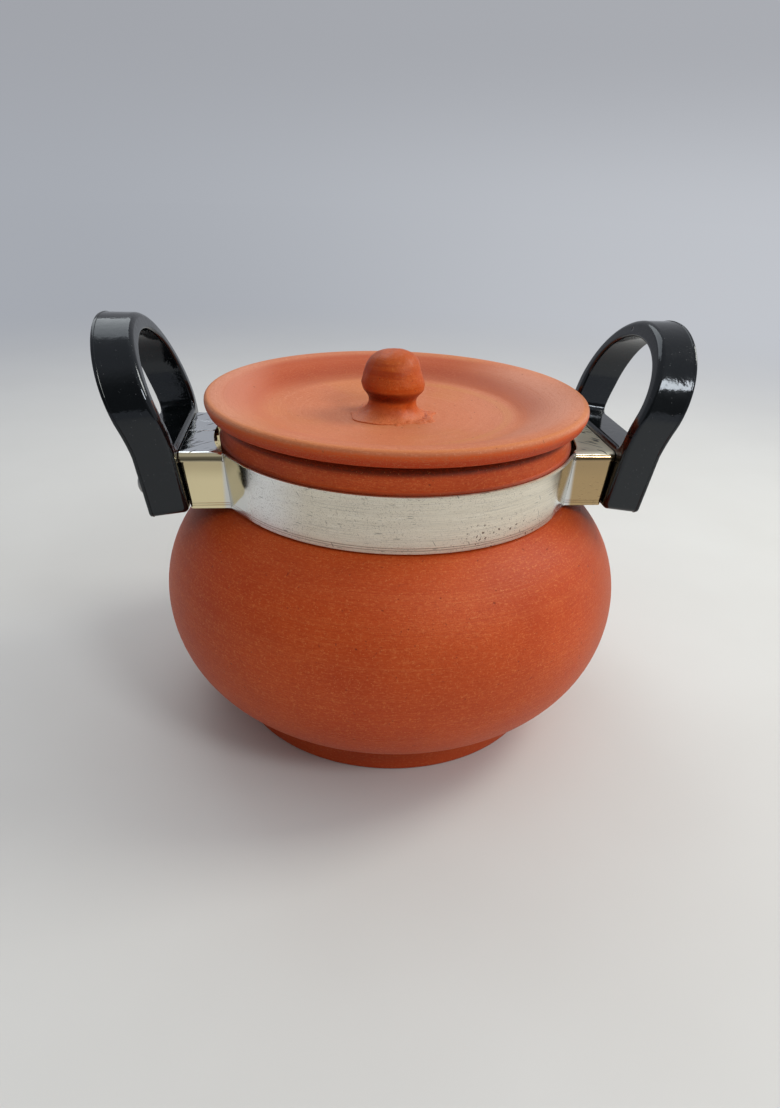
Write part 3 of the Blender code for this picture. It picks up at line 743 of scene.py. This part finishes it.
def make_screw():
    """A pan-head screw standing on the handle's inner face, its head outwards and its cross cut in."""
    under_head = HANDLE_BREADTH + SEAT_GAP
    top = under_head + SCREW_HEAD_HEIGHT
    brim = (SCREW_HEAD_RADIUS, under_head + 0.0010)
    profile = [
        (0.0, top),
        *curve_points((0.0, top), brim, ((0.55, 0.0), (1.0, 0.35)), 10),
        (SCREW_HEAD_RADIUS, under_head + 0.0002),
        (SCREW_HEAD_RADIUS - 0.0002, under_head),
        (SCREW_SHANK_RADIUS, under_head),
        (SCREW_SHANK_RADIUS, 0.0004 - SCREW_TAIL),
        (SCREW_SHANK_RADIUS - 0.0004, -SCREW_TAIL),
        (0.0, -SCREW_TAIL),
    ]
    screw = turned("screw", profile, steps=48)
    for size in ((SCREW_CROSS_LENGTH, SCREW_CROSS_WIDTH), (SCREW_CROSS_WIDTH, SCREW_CROSS_LENGTH)):
        deselect()
        bpy.ops.mesh.primitive_cube_add(size=1.0, location=(0.0, 0.0, top))
        bar = bpy.context.object
        bar.scale = (*size, SCREW_CROSS_HEIGHT)
        fix_place()
        cut(screw, bar)
    ease_edges(screw, SCREW_EDGE)
    smooth(screw, 35)
    return screw


def seated_screw(screw, side, end, name):
    """A copy of the screw on its axis through the handle's base."""
    copy = copy_of(screw, name)
    copy.matrix_world = screw_place(side, end)
    fix_place()
    return copy


# Shader maths

class Value:
    """A shader socket that takes arithmetic. Each operator adds its Math node."""

    def __init__(self, nodes, socket):
        self.nodes = nodes
        self.socket = socket

    def math(self, operation, first, second=0.0):
        return self.nodes.node("Math", {"operation": operation}, {0: first, 1: second})

    def __add__(self, other):
        return self.math("ADD", self, other)

    def __radd__(self, other):
        return self.math("ADD", other, self)

    def __sub__(self, other):
        return self.math("SUBTRACT", self, other)

    def __rsub__(self, other):
        return self.math("SUBTRACT", other, self)

    def __mul__(self, other):
        return self.math("MULTIPLY", self, other)

    def __rmul__(self, other):
        return self.math("MULTIPLY", other, self)

    def __truediv__(self, other):
        return self.math("DIVIDE", self, other)

    def __rtruediv__(self, other):
        return self.math("DIVIDE", other, self)

    def __pow__(self, other):
        return self.math("POWER", self, other)

    def __rpow__(self, other):
        return self.math("POWER", other, self)

    def __abs__(self):
        return self.math("ABSOLUTE", self)


class Nodes:
    """The nodes of one shader tree, added as expressions ask for them."""

    def __init__(self, tree, coordinates):
        self.tree = tree
        self.place = self.node("TexCoord", output=coordinates)

    def node(self, kind, settings=None, inputs=None, output=0):
        made = self.tree.nodes.new("ShaderNode" + kind)
        for name, value in (settings or {}).items():
            setattr(made, name, value)
        for name, value in (inputs or {}).items():
            self.feed(made.inputs[name], value)
        return Value(self, made.outputs[output]) if made.outputs else None

    def feed(self, socket, value):
        if isinstance(value, Value):
            self.tree.links.new(value.socket, socket)
        elif isinstance(value, tuple) and len(value) == 3 and socket.type == "RGBA":
            socket.default_value = (*value, 1.0)
        else:
            socket.default_value = value

    def axes(self):
        parts = self.node("SeparateXYZ", inputs={0: self.place}).socket.node
        return [Value(self, parts.outputs[i]) for i in range(3)]

    def radius(self):
        """Distance from the upright axis."""
        x, y, _ = self.axes()
        return (x * x + y * y) ** 0.5

    def angle(self):
        """Angle about the upright axis, from +X."""
        x, y, _ = self.axes()
        return y.math("ARCTAN2", y, x)

    def noise(self, scale, detail, roughness, vector=None):
        inputs = {"Vector": vector or self.place, "Scale": scale, "Detail": detail, "Roughness": roughness}
        return self.node("TexNoise", inputs=inputs, output="Fac")

    def drawn_noise(self, detail, roughness, x, y, z):
        """Noise over coordinates of its own, drawn out along the one that grows least."""
        return self.noise(1.0, detail, roughness, self.node("CombineXYZ", inputs={0: x, 1: y, 2: z}))

    def flecks(self, scale, chance, reach):
        """Round flecks in the few cells of a fine foam that come up to this chance."""
        cells = {output: self.node("TexVoronoi", inputs={"Vector": self.place, "Scale": scale}, output=output)
                 for output in ("Color", "Distance")}
        draw = self.node("SeparateColor", inputs={0: cells["Color"]})
        return self.between(draw, *chance) * self.between(cells["Distance"], *reach)

    def between(self, value, low, high):
        """0 at low, 1 at high and smooth between them. Where low is the larger number, it falls instead."""
        settings = {"interpolation_type": "SMOOTHSTEP"}
        return self.node("MapRange", settings, {0: value, 1: low, 2: high, 3: 0.0, 4: 1.0})

    def mix(self, factor, first, second):
        made = self.node("Mix", {"data_type": "RGBA"}, {0: factor}).socket.node
        self.feed(made.inputs[6], first)
        self.feed(made.inputs[7], second)
        return Value(self, made.outputs[2])

    def layered(self, colour, *layers):
        """The colour with each tone laid over it as far as its mask goes."""
        for mask, tone in layers:
            colour = self.mix(mask, colour, tone)
        return colour

    def bump(self, height, depth):
        """Height in 0 to 1 stands for this depth in metres."""
        return self.node("Bump", inputs={"Height": height, "Distance": depth, "Strength": 1.0})


def socket_name(name):
    """The shader's own words for a socket: specular_ior_level is Specular IOR Level."""
    return name.replace("_", " ").title().replace("Ior", "IOR")


class Finish(Nodes):
    """A procedural material on one Principled shader."""

    def __init__(self, name, **constants):
        self.material = bpy.data.materials.new(name)
        self.material.use_nodes = True
        super().__init__(self.material.node_tree, "Object")
        self.shader = self.tree.nodes["Principled BSDF"]
        self.set(**constants)

    def set(self, **sockets):
        for socket, value in sockets.items():
            self.feed(self.shader.inputs[socket_name(socket)], value)

    def on(self, *pieces):
        for piece in pieces:
            piece.data.materials.clear()
            piece.data.materials.append(self.material)


# Tones of the clay, with painted light and shade among them
MICA = (0.80, 0.38, 0.15)
# Painted shade along the strap's top and bottom edges
STRAP_EDGE_SHADE = (0.09, 0.012, 0.003)
# Painted shade on the collar under the lid's edge
LID_JOINT_SHADE = (0.07, 0.010, 0.003)
# Painted shade on the pot's right side
RIGHT_BELLY_SHADE = (0.34, 0.055, 0.003)
FOOT_RED = (0.30, 0.030, 0.005)
LID_CLOUD = (0.58, 0.22, 0.055)
# Painted shade on the dish's slope, most on its far side
FAR_SLOPE_SHADE = (0.44, 0.070, 0.016)
# Painted light on the near right of the dish's slope
LIT_SLOPE = (0.64, 0.29, 0.20)
SLOPE_SHADE = (0.33, 0.045, 0.010)
YELLOW_RING = (0.56, 0.25, 0.045)
# Painted light and sheen on the right of the flat
LIT_FLAT = (0.66, 0.28, 0.19)
# Painted sheen at the lid's left and right ends
ENDS_SHEEN = (0.70, 0.33, 0.23)
# Painted highlight along the rim's crest
CREST_HIGHLIGHT = (0.62, 0.20, 0.040)
# Painted shade on the rim's side, with painted light towards its top
SIDE_FOOT_SHADE = (0.45, 0.030, 0.0)
SIDE_TOP_LIGHT = (0.64, 0.088, 0.006)
# Painted shade on the ball's left and lower side
BALL_LEFT_SHADE = (0.26, 0.030, 0.005)
# Wheel rings, painted dark only on the ball's shaded left
SHADED_BALL_RINGS = (0.33, 0.036, 0.004)
# Painted shade on the ball's top
BALL_TOP_SHADE = (0.46, 0.085, 0.010)
# Painted shade under the ball, round the neck
UNDER_BALL_SHADE = (0.08, 0.008, 0.002)
SKIRT_SLIP = (0.58, 0.125, 0.030)
DRIED_SLIP = (0.63, 0.185, 0.072)

# Tones of the steel, with painted reflections and a painted highlight among them
STEEL_DULL = (0.66, 0.60, 0.49)
STEEL_CLEAR = (0.86, 0.80, 0.67)
BRUSHED_DARK = (0.42, 0.39, 0.34)
BRUSHED_LIGHT = (0.95, 0.92, 0.85)
# Painted highlight on the band's left end
LEFT_END_HIGHLIGHT = (0.97, 0.99, 1.0)
FOLD_STEEL = (0.66, 0.66, 0.64)
# Painted reflection on the bracket walls: golden, darker on the right and towards the roll
LEFT_WALL_REFLECTION = (0.80, 0.69, 0.43)
RIGHT_WALL_REFLECTION = (0.44, 0.31, 0.16)
WALL_DARK_REFLECTION = (0.34, 0.25, 0.14)
# Painted reflections on the covers: pale on the left, cream on the right
LEFT_COVER_REFLECTION = (0.80, 0.82, 0.84)
RIGHT_COVER_REFLECTION = (0.97, 0.90, 0.72)
# Painted reflection: dark streaks over the covers
COVER_DARK_STREAKS = (0.05, 0.05, 0.045)
SCRATCH = (0.13, 0.12, 0.11)
GRIT = (0.30, 0.26, 0.20)
RUST = (0.10, 0.055, 0.030)
GROOVE_DIRT = (0.22, 0.19, 0.14)
ZINC_DARK = (0.17, 0.17, 0.17)
ZINC_LIGHT = (0.40, 0.40, 0.39)

# Tones of the phenolic
PHENOLIC_CLEAN = (0.0016, 0.0022, 0.0026)
PHENOLIC_SMEARED = (0.0036, 0.0048, 0.0055)
HAIRLINE = (0.07, 0.075, 0.08)
DUST = (0.16, 0.16, 0.16)


# Finishes

def rings(finish, pitch, wander):
    """Rings left by the wheel on any surface turned about the upright axis. They wander a little."""
    x, y, z = finish.axes()
    across = (finish.radius() + x * wander) / pitch
    return finish.drawn_noise(3.0, 0.6, across, (z + y * wander) / pitch, x * 6.0)


def clay(name, body, light, dark, roughness, burnish, specular, mica, tones_and_painted_light):
    """Low-fired terracotta: a mottled body with wheel lines, paler burnished streaks, sandy and dragged
    grain, pits and mica. The function given last changes the colour from place to place: with tones that
    the clay has, and with painted light and shade."""
    finish = Finish(name, specular_ior_level=specular)
    _, _, z = finish.axes()
    around = finish.angle() * LID_RADIUS
    cloud = finish.noise(16.0, 4.0, 0.6)
    patch = finish.noise(55.0, 5.0, 0.6)
    broad = rings(finish, pitch=0.0030, wander=0.004)
    lines = rings(finish, pitch=0.0009, wander=0.003)
    fine = rings(finish, pitch=0.0004, wander=0.002)
    sand = finish.noise(900.0, 4.0, 0.65)
    grain = finish.noise(2400.0, 2.0, 0.6)
    drag = finish.drawn_noise(3.0, 0.6, around * 480.0, z * 2100.0, finish.radius() * 2100.0)
    pits = finish.between(finish.noise(520.0, 2.0, 0.5), 0.30, 0.22)
    flakes = finish.flecks(2300.0, (0.965, 0.990), (0.42, 0.22))
    colour = finish.mix(finish.between(cloud, 0.30, 0.70) * 0.8 + 0.2, dark, body)
    colour = finish.layered(
        colour,
        (finish.between(broad, 0.46, 0.80) * burnish * 0.6, light),
        (finish.between(lines, 0.52, 0.76) * finish.between(patch, 0.38, 0.62) * burnish, light),
        (finish.between(sand, 0.52, 0.70) * 0.50, light),
        (finish.between(drag, 0.54, 0.70) * 0.40, light),
    )
    colour = finish.layered(
        tones_and_painted_light(finish, colour),
        (finish.between(lines, 0.44, 0.26) * 0.40, dark),
        (finish.between(drag, 0.46, 0.30) * 0.65, dark),
        (finish.between(grain, 0.48, 0.32) * 0.70, dark),
        (pits * 0.7, tuple(part * 0.45 for part in dark)),
        (flakes * mica, MICA),
    )
    height = broad * 0.20 + lines * 0.30 + fine * 0.15 + sand * 0.35 + grain * 0.20 - pits * 0.4
    finish.set(base_color=colour, roughness=roughness - flakes * 0.4 + cloud * 0.14,
               normal=finish.bump(height, 0.00035))
    return finish


def pot_tones_and_shade(finish, colour):
    """Painted shade darkens the clay along the strap's edges, under the lid and at the pot's right side.
    The foot is a deeper red."""
    x, _, z = finish.axes()
    above_strap = finish.between(z, BAND_TOP_Z + 0.0003, BAND_TOP_Z + 0.0014)
    below_strap = finish.between(z, BAND_BOTTOM_Z, BAND_BOTTOM_Z - 0.0011)
    joint = finish.between(z, RIM_Z - 0.0036, RIM_Z - 0.0012) * finish.between(z, RIM_Z + 0.0010, RIM_Z)
    return finish.layered(
        colour,
        # painted shade in thin lines along the strap's top and bottom edges
        ((1.0 - above_strap) * (1.0 - below_strap) * 0.65, STRAP_EDGE_SHADE),
        # painted shade on the collar just under the lid's edge
        (joint * 0.85, LID_JOINT_SHADE),
        # painted shade darkening the pot's right side
        (finish.between(x, 0.066, 0.100) * 0.60, RIGHT_BELLY_SHADE),
        (finish.between(z, FOOT_HEIGHT + 0.001, FOOT_HEIGHT - 0.002) * 0.35, FOOT_RED),
    )


def lid_tones_light_and_shade(finish, colour):
    """The flat has yellower clouds and a yellow ring. Painted shade makes the rim's side and the dish's far
    slope a deeper orange and darkens the foot of the slope towards the back and right. Painted light makes
    the right of the dish and both ends of the rim paler, lights the side towards its top and puts a
    highlight on the crest."""
    x, y, z = finish.axes()
    radius = finish.radius()
    out = radius - DISH_FLAT_RADIUS
    cloud = finish.between(finish.noise(24.0, 3.0, 0.5), 0.50, 0.68)
    slope = finish.between(out, 0.0, 0.010) * finish.between(radius, LID_RADIUS - 0.005, LID_RADIUS - 0.011)
    far = finish.between(y - x * 0.6, -0.010, 0.050)
    right = finish.between(x, 0.020, 0.060)
    shade = finish.between(out, -0.003, 0.003) * finish.between(out, 0.018, 0.008)
    shade = shade * finish.between(y + x * 0.45, -0.012, 0.034)
    ring = finish.between(abs(out + 0.0045), 0.0030, 0.0008) * finish.between(x, 0.0, 0.035)
    flat = finish.between(out, 0.002, -0.004)
    crest = finish.between(abs(radius - LID_RADIUS + 0.0016), 0.0016, 0.0004)
    side = finish.between(z, LID_TOP_Z - 0.0008, LID_TOP_Z - 0.0026)
    side = side * finish.between(radius, LID_RADIUS - 0.0040, LID_RADIUS - 0.0020)
    # painted shade at the foot of the rim's side, painted light towards its top
    side_tone = finish.mix(finish.between(z, LID_TOP_Z - 0.0056, LID_TOP_Z - 0.0014), SIDE_FOOT_SHADE, SIDE_TOP_LIGHT)
    return finish.layered(
        colour,
        (cloud * 0.30, LID_CLOUD),
        # painted shade over the dish's slope, most on its far side
        (slope * (far * 0.78 + 0.15), FAR_SLOPE_SHADE),
        # painted light on the near right of the dish's slope
        (slope * (1.0 - far) * right * 0.60, LIT_SLOPE),
        (shade * 0.60, SLOPE_SHADE),
        (ring * 0.35, YELLOW_RING),
        # painted light and sheen on the right of the flat
        (flat * right * 0.40, LIT_FLAT),
        # painted sheen at the lid's left and right ends
        (finish.between(abs(x), 0.052, 0.076) * 0.45, ENDS_SHEEN),
        # painted highlight along the rim's crest
        (crest * 0.45, CREST_HIGHLIGHT),
        # painted shade and light over the rim's side
        (side * 0.92, side_tone),
    )


def knob_tones_and_shade(finish, colour):
    """Painted shade darkens the ball at its left and low down, along its wheel rings on the left, at its
    top and under it round the neck. The slip of the skirt and round it dried as pale as the lid."""
    x, y, z = finish.axes()
    up = z - DISH_Z
    thrown = finish.drawn_noise(2.0, 0.5, x * 40.0, y * 40.0, z * 330.0)
    neck = finish.between(abs(up - 0.0102), 0.0036, 0.0014)
    return finish.layered(
        colour,
        # painted shade on the ball's left and lower side
        (finish.between(x + up * 0.4, 0.004, -0.008) * 0.40, BALL_LEFT_SHADE),
        # wheel rings, painted dark only where the ball's left lies in shade
        (finish.between(thrown, 0.54, 0.40) * finish.between(x, 0.014, -0.002) * 0.65, SHADED_BALL_RINGS),
        # painted shade on the ball's top
        (finish.between(up, 0.022, 0.028) * 0.45, BALL_TOP_SHADE),
        # painted shade under the ball, round the neck, most on the left
        (neck * (finish.between(x, 0.010, -0.006) * 0.55 + 0.35), UNDER_BALL_SHADE),
        (finish.between(up, 0.0070, 0.0030) * 0.80, SKIRT_SLIP),
        (finish.between(up, 0.0034, 0.0008) * 0.80, DRIED_SLIP),
    )


def strap_finish():
    """Sheet steel: brushed round the neck, polished at the folds and the brackets, and scratched, gritty and
    rust-specked where it is brushed. Painted on: a highlight at the band's left end, a golden reflection on
    the bracket walls, darker on the right and towards the roll, and reflections on the covers, pale on the
    left and cream on the right, crossed by dark streaks."""
    finish = Finish("brushed_strap_steel")
    x, y, z = finish.axes()
    up = z - BAND_BOTTOM_Z
    around = finish.angle() * STRAP_RADIUS
    brushed = finish.between(abs(x), 0.0690, 0.0630)
    bracket = finish.between(abs(x), 0.0765, 0.0785)
    on_left = finish.between(x, 0.02, -0.02)
    on_right = finish.between(x, -0.02, 0.02)
    long_lines = finish.drawn_noise(4.0, 0.7, around * 28.0, z * 2600.0, 0.0)
    short_lines = finish.drawn_noise(3.0, 0.6, around * 120.0, z * 5200.0, 3.0)
    bands = finish.drawn_noise(2.0, 0.5, around * 9.0, z * 420.0, 7.0)
    haze = finish.noise(38.0, 4.0, 0.6)
    dirty = finish.between(finish.noise(30.0, 2.0, 0.5), 0.45, 0.62)

    # A highlight is painted on the band's left end, near its fold
    end_highlight = finish.between(abs(x), 0.040, 0.060) * finish.between(x, 0.0, -0.02)
    band = finish.layered(
        finish.mix(bands, STEEL_DULL, STEEL_CLEAR),
        (finish.between(long_lines, 0.50, 0.68) * 0.60, BRUSHED_DARK),
        (finish.between(short_lines, 0.52, 0.70) * 0.50, BRUSHED_LIGHT),
        (end_highlight * 0.75, LEFT_END_HIGHLIGHT),
    )
    band = finish.mix(brushed, FOLD_STEEL, band)

    # The bracket walls carry a painted golden reflection, darker on the right and towards the roll above
    deep = finish.between(z + haze * 0.003, BAND_TOP_Z - 0.0110, BAND_TOP_Z - 0.0030)
    deep = deep * 0.40 * finish.between(z, ROLL_Z + 0.0014, ROLL_Z)
    wall_reflection = finish.mix(deep, finish.mix(on_right, LEFT_WALL_REFLECTION, RIGHT_WALL_REFLECTION), WALL_DARK_REFLECTION)
    cover = finish.between(z - on_left * 0.0008, ROLL_Z + 0.0022, ROLL_Z + 0.0027)
    # The right cover: rougher than the left, and given a painted cream reflection below
    right_cover = cover * on_right
    # dark streaks painted over the covers, which stand in for reflections of the handles
    cover_streaks = finish.drawn_noise(1.0, 0.4, (abs(x) + y) * 420.0, (abs(x) - y) * 80.0, 0.0)
    # painted reflections on the covers: pale on the left, cream on the right
    cover_reflection = finish.mix(right_cover, LEFT_COVER_REFLECTION, RIGHT_COVER_REFLECTION)
    cover_reflection = finish.mix(finish.between(cover_streaks, 0.62, 0.69) * 0.85, cover_reflection, COVER_DARK_STREAKS)
    colour = finish.mix(bracket, band, finish.mix(cover, wall_reflection, cover_reflection))

    scratch = finish.drawn_noise(1.0, 0.4, around * 170.0, z * 1500.0, 1.0)
    gash = finish.drawn_noise(1.0, 0.4, around * 900.0 + z * 500.0, z * 120.0 - around * 60.0, 5.0)
    worn = finish.between(scratch, 0.69, 0.75) * 0.7 + finish.between(gash, 0.73, 0.77) * 0.6
    grit = finish.between(finish.noise(2600.0, 2.0, 0.6), 0.56, 0.68) * (0.30 + dirty * 0.30)
    splashed = finish.between(x, 0.004, 0.026) * finish.between(x, 0.066, 0.048)
    splashed = splashed * finish.between(y, 0.0, -0.03) * finish.between(up, 0.019, 0.004)
    speck = finish.drawn_noise(2.0, 0.6, around * 1300.0, z * 1300.0, 0.0)
    drop = finish.drawn_noise(1.0, 0.5, around * 640.0, z * 640.0, 4.0)
    rust = finish.between(speck, 0.61, 0.66) * (dirty * 0.40 + splashed * 0.7)
    rust = rust + finish.between(drop, 0.66, 0.70) * splashed
    groove = finish.between(abs(abs(up - 0.0021) - 0.0005), 0.00022, 0.00006)
    colour = finish.layered(
        colour,
        (worn * brushed, SCRATCH),
        (grit * brushed, GRIT),
        (rust * brushed, RUST),
        (groove * 0.60 * brushed, GROOVE_DIRT),
    )

    buckled = finish.noise(80.0, 1.0, 0.4) * (1.0 - brushed) * (0.25 + cover * 0.8)
    height = (long_lines * 0.7 + short_lines * 0.3) * brushed - groove - rust + buckled * 15.0
    finish.set(base_color=colour, metallic=1.0 - rust * 0.8,
               roughness=0.07 + haze * 0.05 + right_cover * 0.30 + brushed * (0.20 + long_lines * 0.12),
               normal=finish.bump(height, 0.00004))
    return finish


def phenolic():
    """Moulded black phenolic: glossy, faintly green-blue, with handling smears, dust, hairline scuffs and one
    mould mark on its crown."""
    finish = Finish("black_phenolic", specular_ior_level=0.52, specular_tint=(0.88, 0.93, 1.0, 1.0))
    x, y, z = finish.axes()
    smear = finish.noise(70.0, 5.0, 0.6)
    orange_peel = finish.noise(420.0, 2.0, 0.5)
    hairs = finish.drawn_noise(2.0, 0.5, x * 900.0 + z * 300.0, y * 90.0, z * 420.0)
    dust = finish.flecks(2100.0, (0.986, 0.990), (0.40, 0.25))
    colour = finish.layered(
        finish.mix(smear, PHENOLIC_CLEAN, PHENOLIC_SMEARED),
        (finish.between(hairs, 0.70, 0.78) * 0.30, HAIRLINE),
        (dust * 0.5, DUST),
    )
    mould_mark = tuple(handle_point(0.010, HANDLE_HEIGHT - 0.0053, 0.0))
    ends = {0: finish.place, 1: mould_mark}
    apart = finish.node("VectorMath", {"operation": "DISTANCE"}, ends, "Value")
    pit = finish.between(apart, 0.0011, 0.0006)
    finish.set(base_color=colour, roughness=0.06 + finish.between(smear, 0.35, 0.75) * 0.12 + dust * 0.3,
               normal=finish.bump(orange_peel * 0.5 + smear - pit * 4.0, 0.00012))
    return finish


def zinc_plate():
    """Dull zinc on the screws, the washers and the nuts."""
    finish = Finish("zinc_plated_screws", metallic=1.0)
    tarnish = finish.noise(350.0, 3.0, 0.6)
    finish.set(base_color=finish.mix(tarnish, ZINC_DARK, ZINC_LIGHT), roughness=0.22 + tarnish * 0.25,
               normal=finish.bump(tarnish, 0.00002))
    return finish


# The pieces

pot = make_pot()
lid = make_lid()
knob = make_knob()
slip = make_slip()
front_strap = make_strap()
rear_strap = half_turned_copy(front_strap, "rear_strap")
right_handle = make_handle()
left_handle = half_turned_copy(right_handle, "left_loop_handle")
screw = make_screw()
screws = {}
for side in ("left", "right"):
    for end in ("front", "rear"):
        node = f"{side}_{end}_screw"
        screws[node] = seated_screw(screw, side, end, f"{side}_{end}_pan_head_screw")
bpy.data.objects.remove(screw)

pot_clay = clay("pot_terracotta", tones_and_painted_light=pot_tones_and_shade, roughness=0.42, burnish=0.26, specular=0.25, mica=0.60,
                body=(0.56, 0.078, 0.010), light=(0.70, 0.200, 0.056), dark=(0.42, 0.040, 0.003))
lid_clay = clay("lid_terracotta", tones_and_painted_light=lid_tones_light_and_shade, roughness=0.48, burnish=0.30, specular=0.22, mica=0.20,
                body=(0.60, 0.190, 0.088), light=(0.71, 0.31, 0.175), dark=(0.51, 0.140, 0.052))
knob_clay = clay("knob_terracotta", tones_and_painted_light=knob_tones_and_shade, roughness=0.36, burnish=0.30, specular=0.25, mica=0.20,
                 body=(0.58, 0.108, 0.012), light=(0.70, 0.21, 0.050), dark=(0.40, 0.050, 0.004))
strap_steel = strap_finish()
handle_phenolic = phenolic()
screw_zinc = zinc_plate()

pot_clay.on(pot)
lid_clay.on(lid)
knob_clay.on(knob, slip)
strap_steel.on(front_strap, rear_strap)
handle_phenolic.on(right_handle, left_handle)
screw_zinc.on(*screws.values())
for node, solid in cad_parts.items():
    if node.endswith(("_nut", "_washer")):
        screw_zinc.on(solid)

for piece, node, body, slot in (
    (pot, "clay_pot", "pot", "pot_clay"),
    (lid, "clay_lid", "lid", "lid_clay"),
    (knob, "lid_knob", "lid", "knob_clay"),
    (front_strap, "front_band", "pot", "strap_steel"),
    (rear_strap, "rear_band", "pot", "strap_steel"),
    (right_handle, "right_handle", "pot", "phenolic"),
    (left_handle, "left_handle", "pot", "phenolic"),
    *((piece, node, "pot", "fastener_steel") for node, piece in screws.items()),
):
    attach(piece, body)
    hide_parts(node)
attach(slip, "lid")


# Floor, light and camera

FLOOR_DROP = 0.0001
FLOOR_REACH = 6.0
FLOOR_TONES = ((0.62, 0.615, 0.60), (0.68, 0.68, 0.67))
BACKDROP_LEFT = (0.38, 0.40, 0.44)
BACKDROP_RIGHT = (0.54, 0.56, 0.60)
BACKDROP_TOP = (0.35, 0.36, 0.39)
ROOM_DIM = (0.215, 0.22, 0.23)
ROOM_BRIGHT = (0.82, 0.82, 0.83)
ROOM_BEHIND_CAMERA = (0.02, 0.022, 0.025)
TO_BRIGHT_SIDE = (0.74, 0.42, 0.52)
LAMP_AIM = Vector((0.0, 0.0, 0.08))
# Each lamp's name, place, width, watts and colour
LAMPS = (
    ("window", (0.76, 0.10, 0.80), 0.36, 4.3, (1.0, 0.99, 0.90)),
    ("skylight", (-0.20, 0.66, 0.94), 0.70, 2.4, (0.92, 0.98, 1.0)),
    ("front_window", (0.62, -0.84, 0.92), 0.30, 4.1, (0.96, 0.99, 1.0)),
)
CAMERA_PLACE = (-0.03986, -0.34426, 0.24551)
CAMERA_TURN = (math.radians(63.378), math.radians(-1.864), math.radians(-5.582))
CAMERA_LENS = 24.668


def make_floor():
    """A pale floor just below the foot, which glows as the backdrop does from a little way off."""
    deselect()
    bpy.ops.mesh.primitive_circle_add(vertices=96, radius=FLOOR_REACH, fill_type="NGON",
                                      location=(0.0, 0.0, -FLOOR_DROP))
    floor = bpy.context.object
    floor.name = "studio_floor"
    finish = Finish("pale_floor", roughness=0.6, specular_ior_level=0.2)
    finish.set(base_color=finish.mix(finish.noise(9.0, 3.0, 0.5), *FLOOR_TONES))
    x, _, _ = finish.axes()
    distance = finish.radius()
    backdrop = finish.mix(finish.between(x / distance, -0.4, 0.7), BACKDROP_LEFT, BACKDROP_RIGHT)
    glow = finish.node("Emission", inputs={"Color": backdrop, "Strength": 1.0})
    near = Value(finish, finish.shader.outputs[0])
    either = finish.node("MixShader", inputs={0: finish.between(distance, 0.30, 1.3), 1: near, 2: glow})
    finish.feed(finish.tree.nodes["Material Output"].inputs["Surface"], either)
    finish.on(floor)


def make_world():
    """For light a soft room, brighter up and to the right. The camera, and gloss that looks past the pot,
    see a backdrop instead, and gloss that looks the other way sees a darker room."""
    world = bpy.data.worlds.new("studio")
    bpy.context.scene.world = world
    world.use_nodes = True
    world.node_tree.nodes.clear()
    room = Nodes(world.node_tree, "Generated")
    x, y, z = room.axes()
    sides = {0: room.place, 1: TO_BRIGHT_SIDE}
    toward = room.node("VectorMath", {"operation": "DOT_PRODUCT"}, sides, "Value")
    glow = room.mix(room.between(toward, -0.55, 0.95), ROOM_DIM, ROOM_BRIGHT)
    backdrop = room.mix(room.between(x, -0.4, 0.7), BACKDROP_LEFT, BACKDROP_RIGHT)
    backdrop = room.mix(room.between(z, -0.04, 0.14) * 0.7, backdrop, BACKDROP_TOP)
    behind = room.between(y * 0.8 + abs(x) * 0.6 + z * 0.4, -0.25, 0.35)
    ray = room.node("LightPath").socket.node
    camera, glossy, through = (Value(room, ray.outputs[f"Is {kind} Ray"])
                               for kind in ("Camera", "Glossy", "Transmission"))
    glow = room.mix(glossy * (1.0 - behind) * 0.7, glow, ROOM_BEHIND_CAMERA)
    colour = room.mix(camera + through + glossy * behind, glow, backdrop)
    background = room.node("Background", inputs={"Color": colour, "Strength": 1.0})
    room.node("OutputWorld", inputs={"Surface": background})


def soft_light(name, place, size, power, colour):
    deselect()
    bpy.ops.object.light_add(type="AREA", location=place)
    lamp = bpy.context.object
    lamp.name = name
    lamp.rotation_euler = (LAMP_AIM - Vector(place)).to_track_quat("-Z", "Y").to_euler()
    lamp.data.size = size
    lamp.data.energy = power
    lamp.data.color = colour


def make_camera():
    deselect()
    bpy.ops.object.camera_add(location=CAMERA_PLACE, rotation=CAMERA_TURN)
    camera = bpy.context.object
    camera.data.sensor_fit = "VERTICAL"
    camera.data.sensor_height = 36.0
    camera.data.lens = CAMERA_LENS
    camera.data.clip_start = 0.01
    bpy.context.scene.camera = camera


make_floor()
make_world()
for lamp in LAMPS:
    soft_light(*lamp)
make_camera()
bpy.context.scene.view_settings.view_transform = "Standard"
